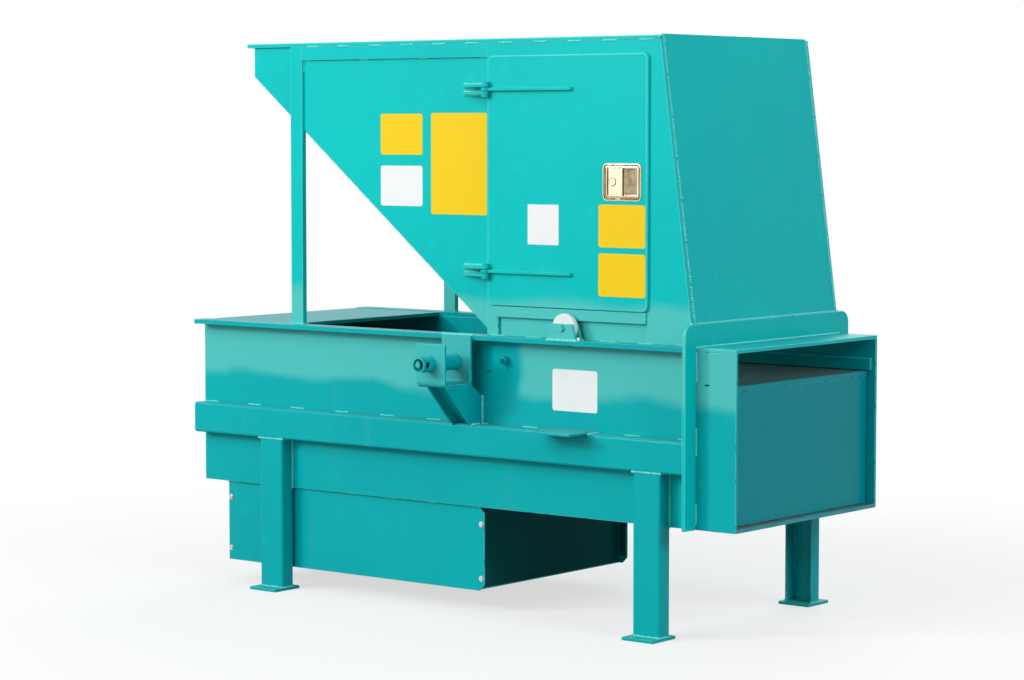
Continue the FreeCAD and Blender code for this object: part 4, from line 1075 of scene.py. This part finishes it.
latchTrim = {
    # the third number of each ring sets how much painted dark reflection its faces take; in the dish it is
    # painted shade
    "ribs": [
        (0.0012, 0.0, 0.5), (0.0020, 0.0010, 0.5), (0.0038, 0.0014, 0.2),
        (0.0052, 0.0004, 1.0), (0.0076, 0.0003, 0.9), (0.0088, 0.0018, 0.4),
        (0.0110, 0.0022, 0.0), (0.0124, 0.0004, 1.0), (0.0146, -0.001, 1.0),
    ],
    "dish": [(0.0, -0.0050, 1.0), (0.0015, -0.0052, 1.0), (0.0024, -0.0055, 0.45), (0.0034, -0.0056, 0.45)],
    "inside": 0.0152,  # where the ribs end
    "tuck": 0.004,  # how far the dish reaches behind the paddle
    "panCorner": 0.016,
    "dishCorner": 0.006,
    # collar: profile of the black ring of painted shadow round the key cylinder
    "collar": [(0.0002, -0.0002), (0.0024, -0.0002), (0.0020, -0.0010), (0.0002, -0.0012)],
}
panLow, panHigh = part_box("latch_pan")
panMiddle = ((panLow.x + panHigh.x) / 2, (panLow.z + panHigh.z) / 2)
panHalf = ((panHigh.x - panLow.x) / 2, (panHigh.z - panLow.z) / 2)
pressedPlate("latchTrim", panMiddle, panHalf, latchTrim["panCorner"], panLow.y, latchTrim["ribs"], False)
paddleLow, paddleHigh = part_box("latch_paddle")
dishLow, dishHigh = paddleHigh.x - latchTrim["tuck"], panHigh.x - latchTrim["inside"]
dishMiddle = ((dishLow + dishHigh) / 2, panMiddle[1])
dishHalf = ((dishHigh - dishLow) / 2, panHalf[1] - latchTrim["inside"])
pressedPlate(
    "fingerDish", dishMiddle, dishHalf, latchTrim["dishCorner"], paddleLow.y, latchTrim["dish"], True,
)
keyLow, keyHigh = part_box("latch_key_cylinder")
keyRadius = (keyHigh.x - keyLow.x) / 2
# painted shadow: a black ring standing for the dark side of the raised key cylinder
collar = [(keyRadius + wider, along) for wider, along in latchTrim["collar"]]
keyMiddle = ((keyLow.x + keyHigh.x) / 2, paddleLow.y + 0.0004, (keyLow.z + keyHigh.z) / 2)
turned("keyCollar", collar, keyMiddle, "latch_paddle", "black", sides=32)
print("latch trim pressed")

for label in labels:
    face, body = labelPlanes[label["on"]]
    stock = labelYellow if label["stock"] == "yellow" else labelWhite
    mesh = labelMesh(label["x"], label["z"], face, label.get("corner", labelCorner))
    addPiece(label["name"], mesh, body, stock, smoothAngle=0)
print("blank labels on:", len(labels))


def finTree():
    # Thin ribs standing round an axis along X, spaced by their number.
    tree, add, given, leave = newTree(
        "motorFins",
        [
            ("Radius", "Float", 0.09),
            ("Length", "Float", 0.2),
            ("Depth", "Float", 0.01),
            ("Thickness", "Float", 0.0026),
            ("Count", "Int", 28),
            ("Middle", "Vector", None),
            ("Material", "Material", None),
        ],
    )
    ring = add.node("GeometryNodeMeshCircle", None, {"Vertices": given["Count"], "Radius": given["Radius"]})
    ring = add.node("GeometryNodeTransform", None, {"Geometry": ring, "Rotation": (0.0, math.pi / 2, 0.0)})
    size = add.node(
        "ShaderNodeCombineXYZ", None, {"X": given["Length"], "Y": given["Thickness"], "Z": given["Depth"]}
    )
    rib = add.node("GeometryNodeMeshCube", None, {"Size": size})
    away = add.node("GeometryNodeInputPosition")
    turn = add.node("FunctionNodeAlignRotationToVector", {"axis": "Z", "pivot_axis": "X"}, {"Vector": away})
    many = add.node(
        "GeometryNodeInstanceOnPoints", None, {"Points": ring, "Instance": rib, "Rotation": turn}
    )
    many = add.node("GeometryNodeTransform", None, {"Geometry": many, "Translation": given["Middle"]})
    many = add.node("GeometryNodeRealizeInstances", None, {"Geometry": many})
    many = add.node("GeometryNodeSetMaterial", None, {"Geometry": many, "Material": given["Material"]})
    tree.links.new(many.socket, leave.inputs[0])
    return tree


motorLow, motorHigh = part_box("motor_housing")
rotorLow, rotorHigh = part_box("motor_rotor")
motorFins = {
    "Radius": (motorHigh.y - motorLow.y) / 2 + 0.002,
    "Length": 0.21,
    "Depth": 0.012,
    "Thickness": 0.0026,
    "Count": 32,
    "Middle": ((motorLow.x + motorHigh.x) / 2, 0.0, (rotorLow.z + rotorHigh.z) / 2),
    "Material": finishes["grey"][0],
}
applyTree("motorFins", bpy.data.meshes.new("finSeed"), finTree(), motorFins, "frame", "grey")
print("motor fins made:", motorFins["Count"])

# The nodes that stay as built, and their finishes.
carried = {"motor_housing": "grey", "hydraulic_lines": "black"}
for name, node in nodes.items():
    if not node.hide_render:
        node.data.materials.clear()
        node.data.materials.append(finishes[carried[name]][0])
        print("kept as built:", name)

low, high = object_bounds()
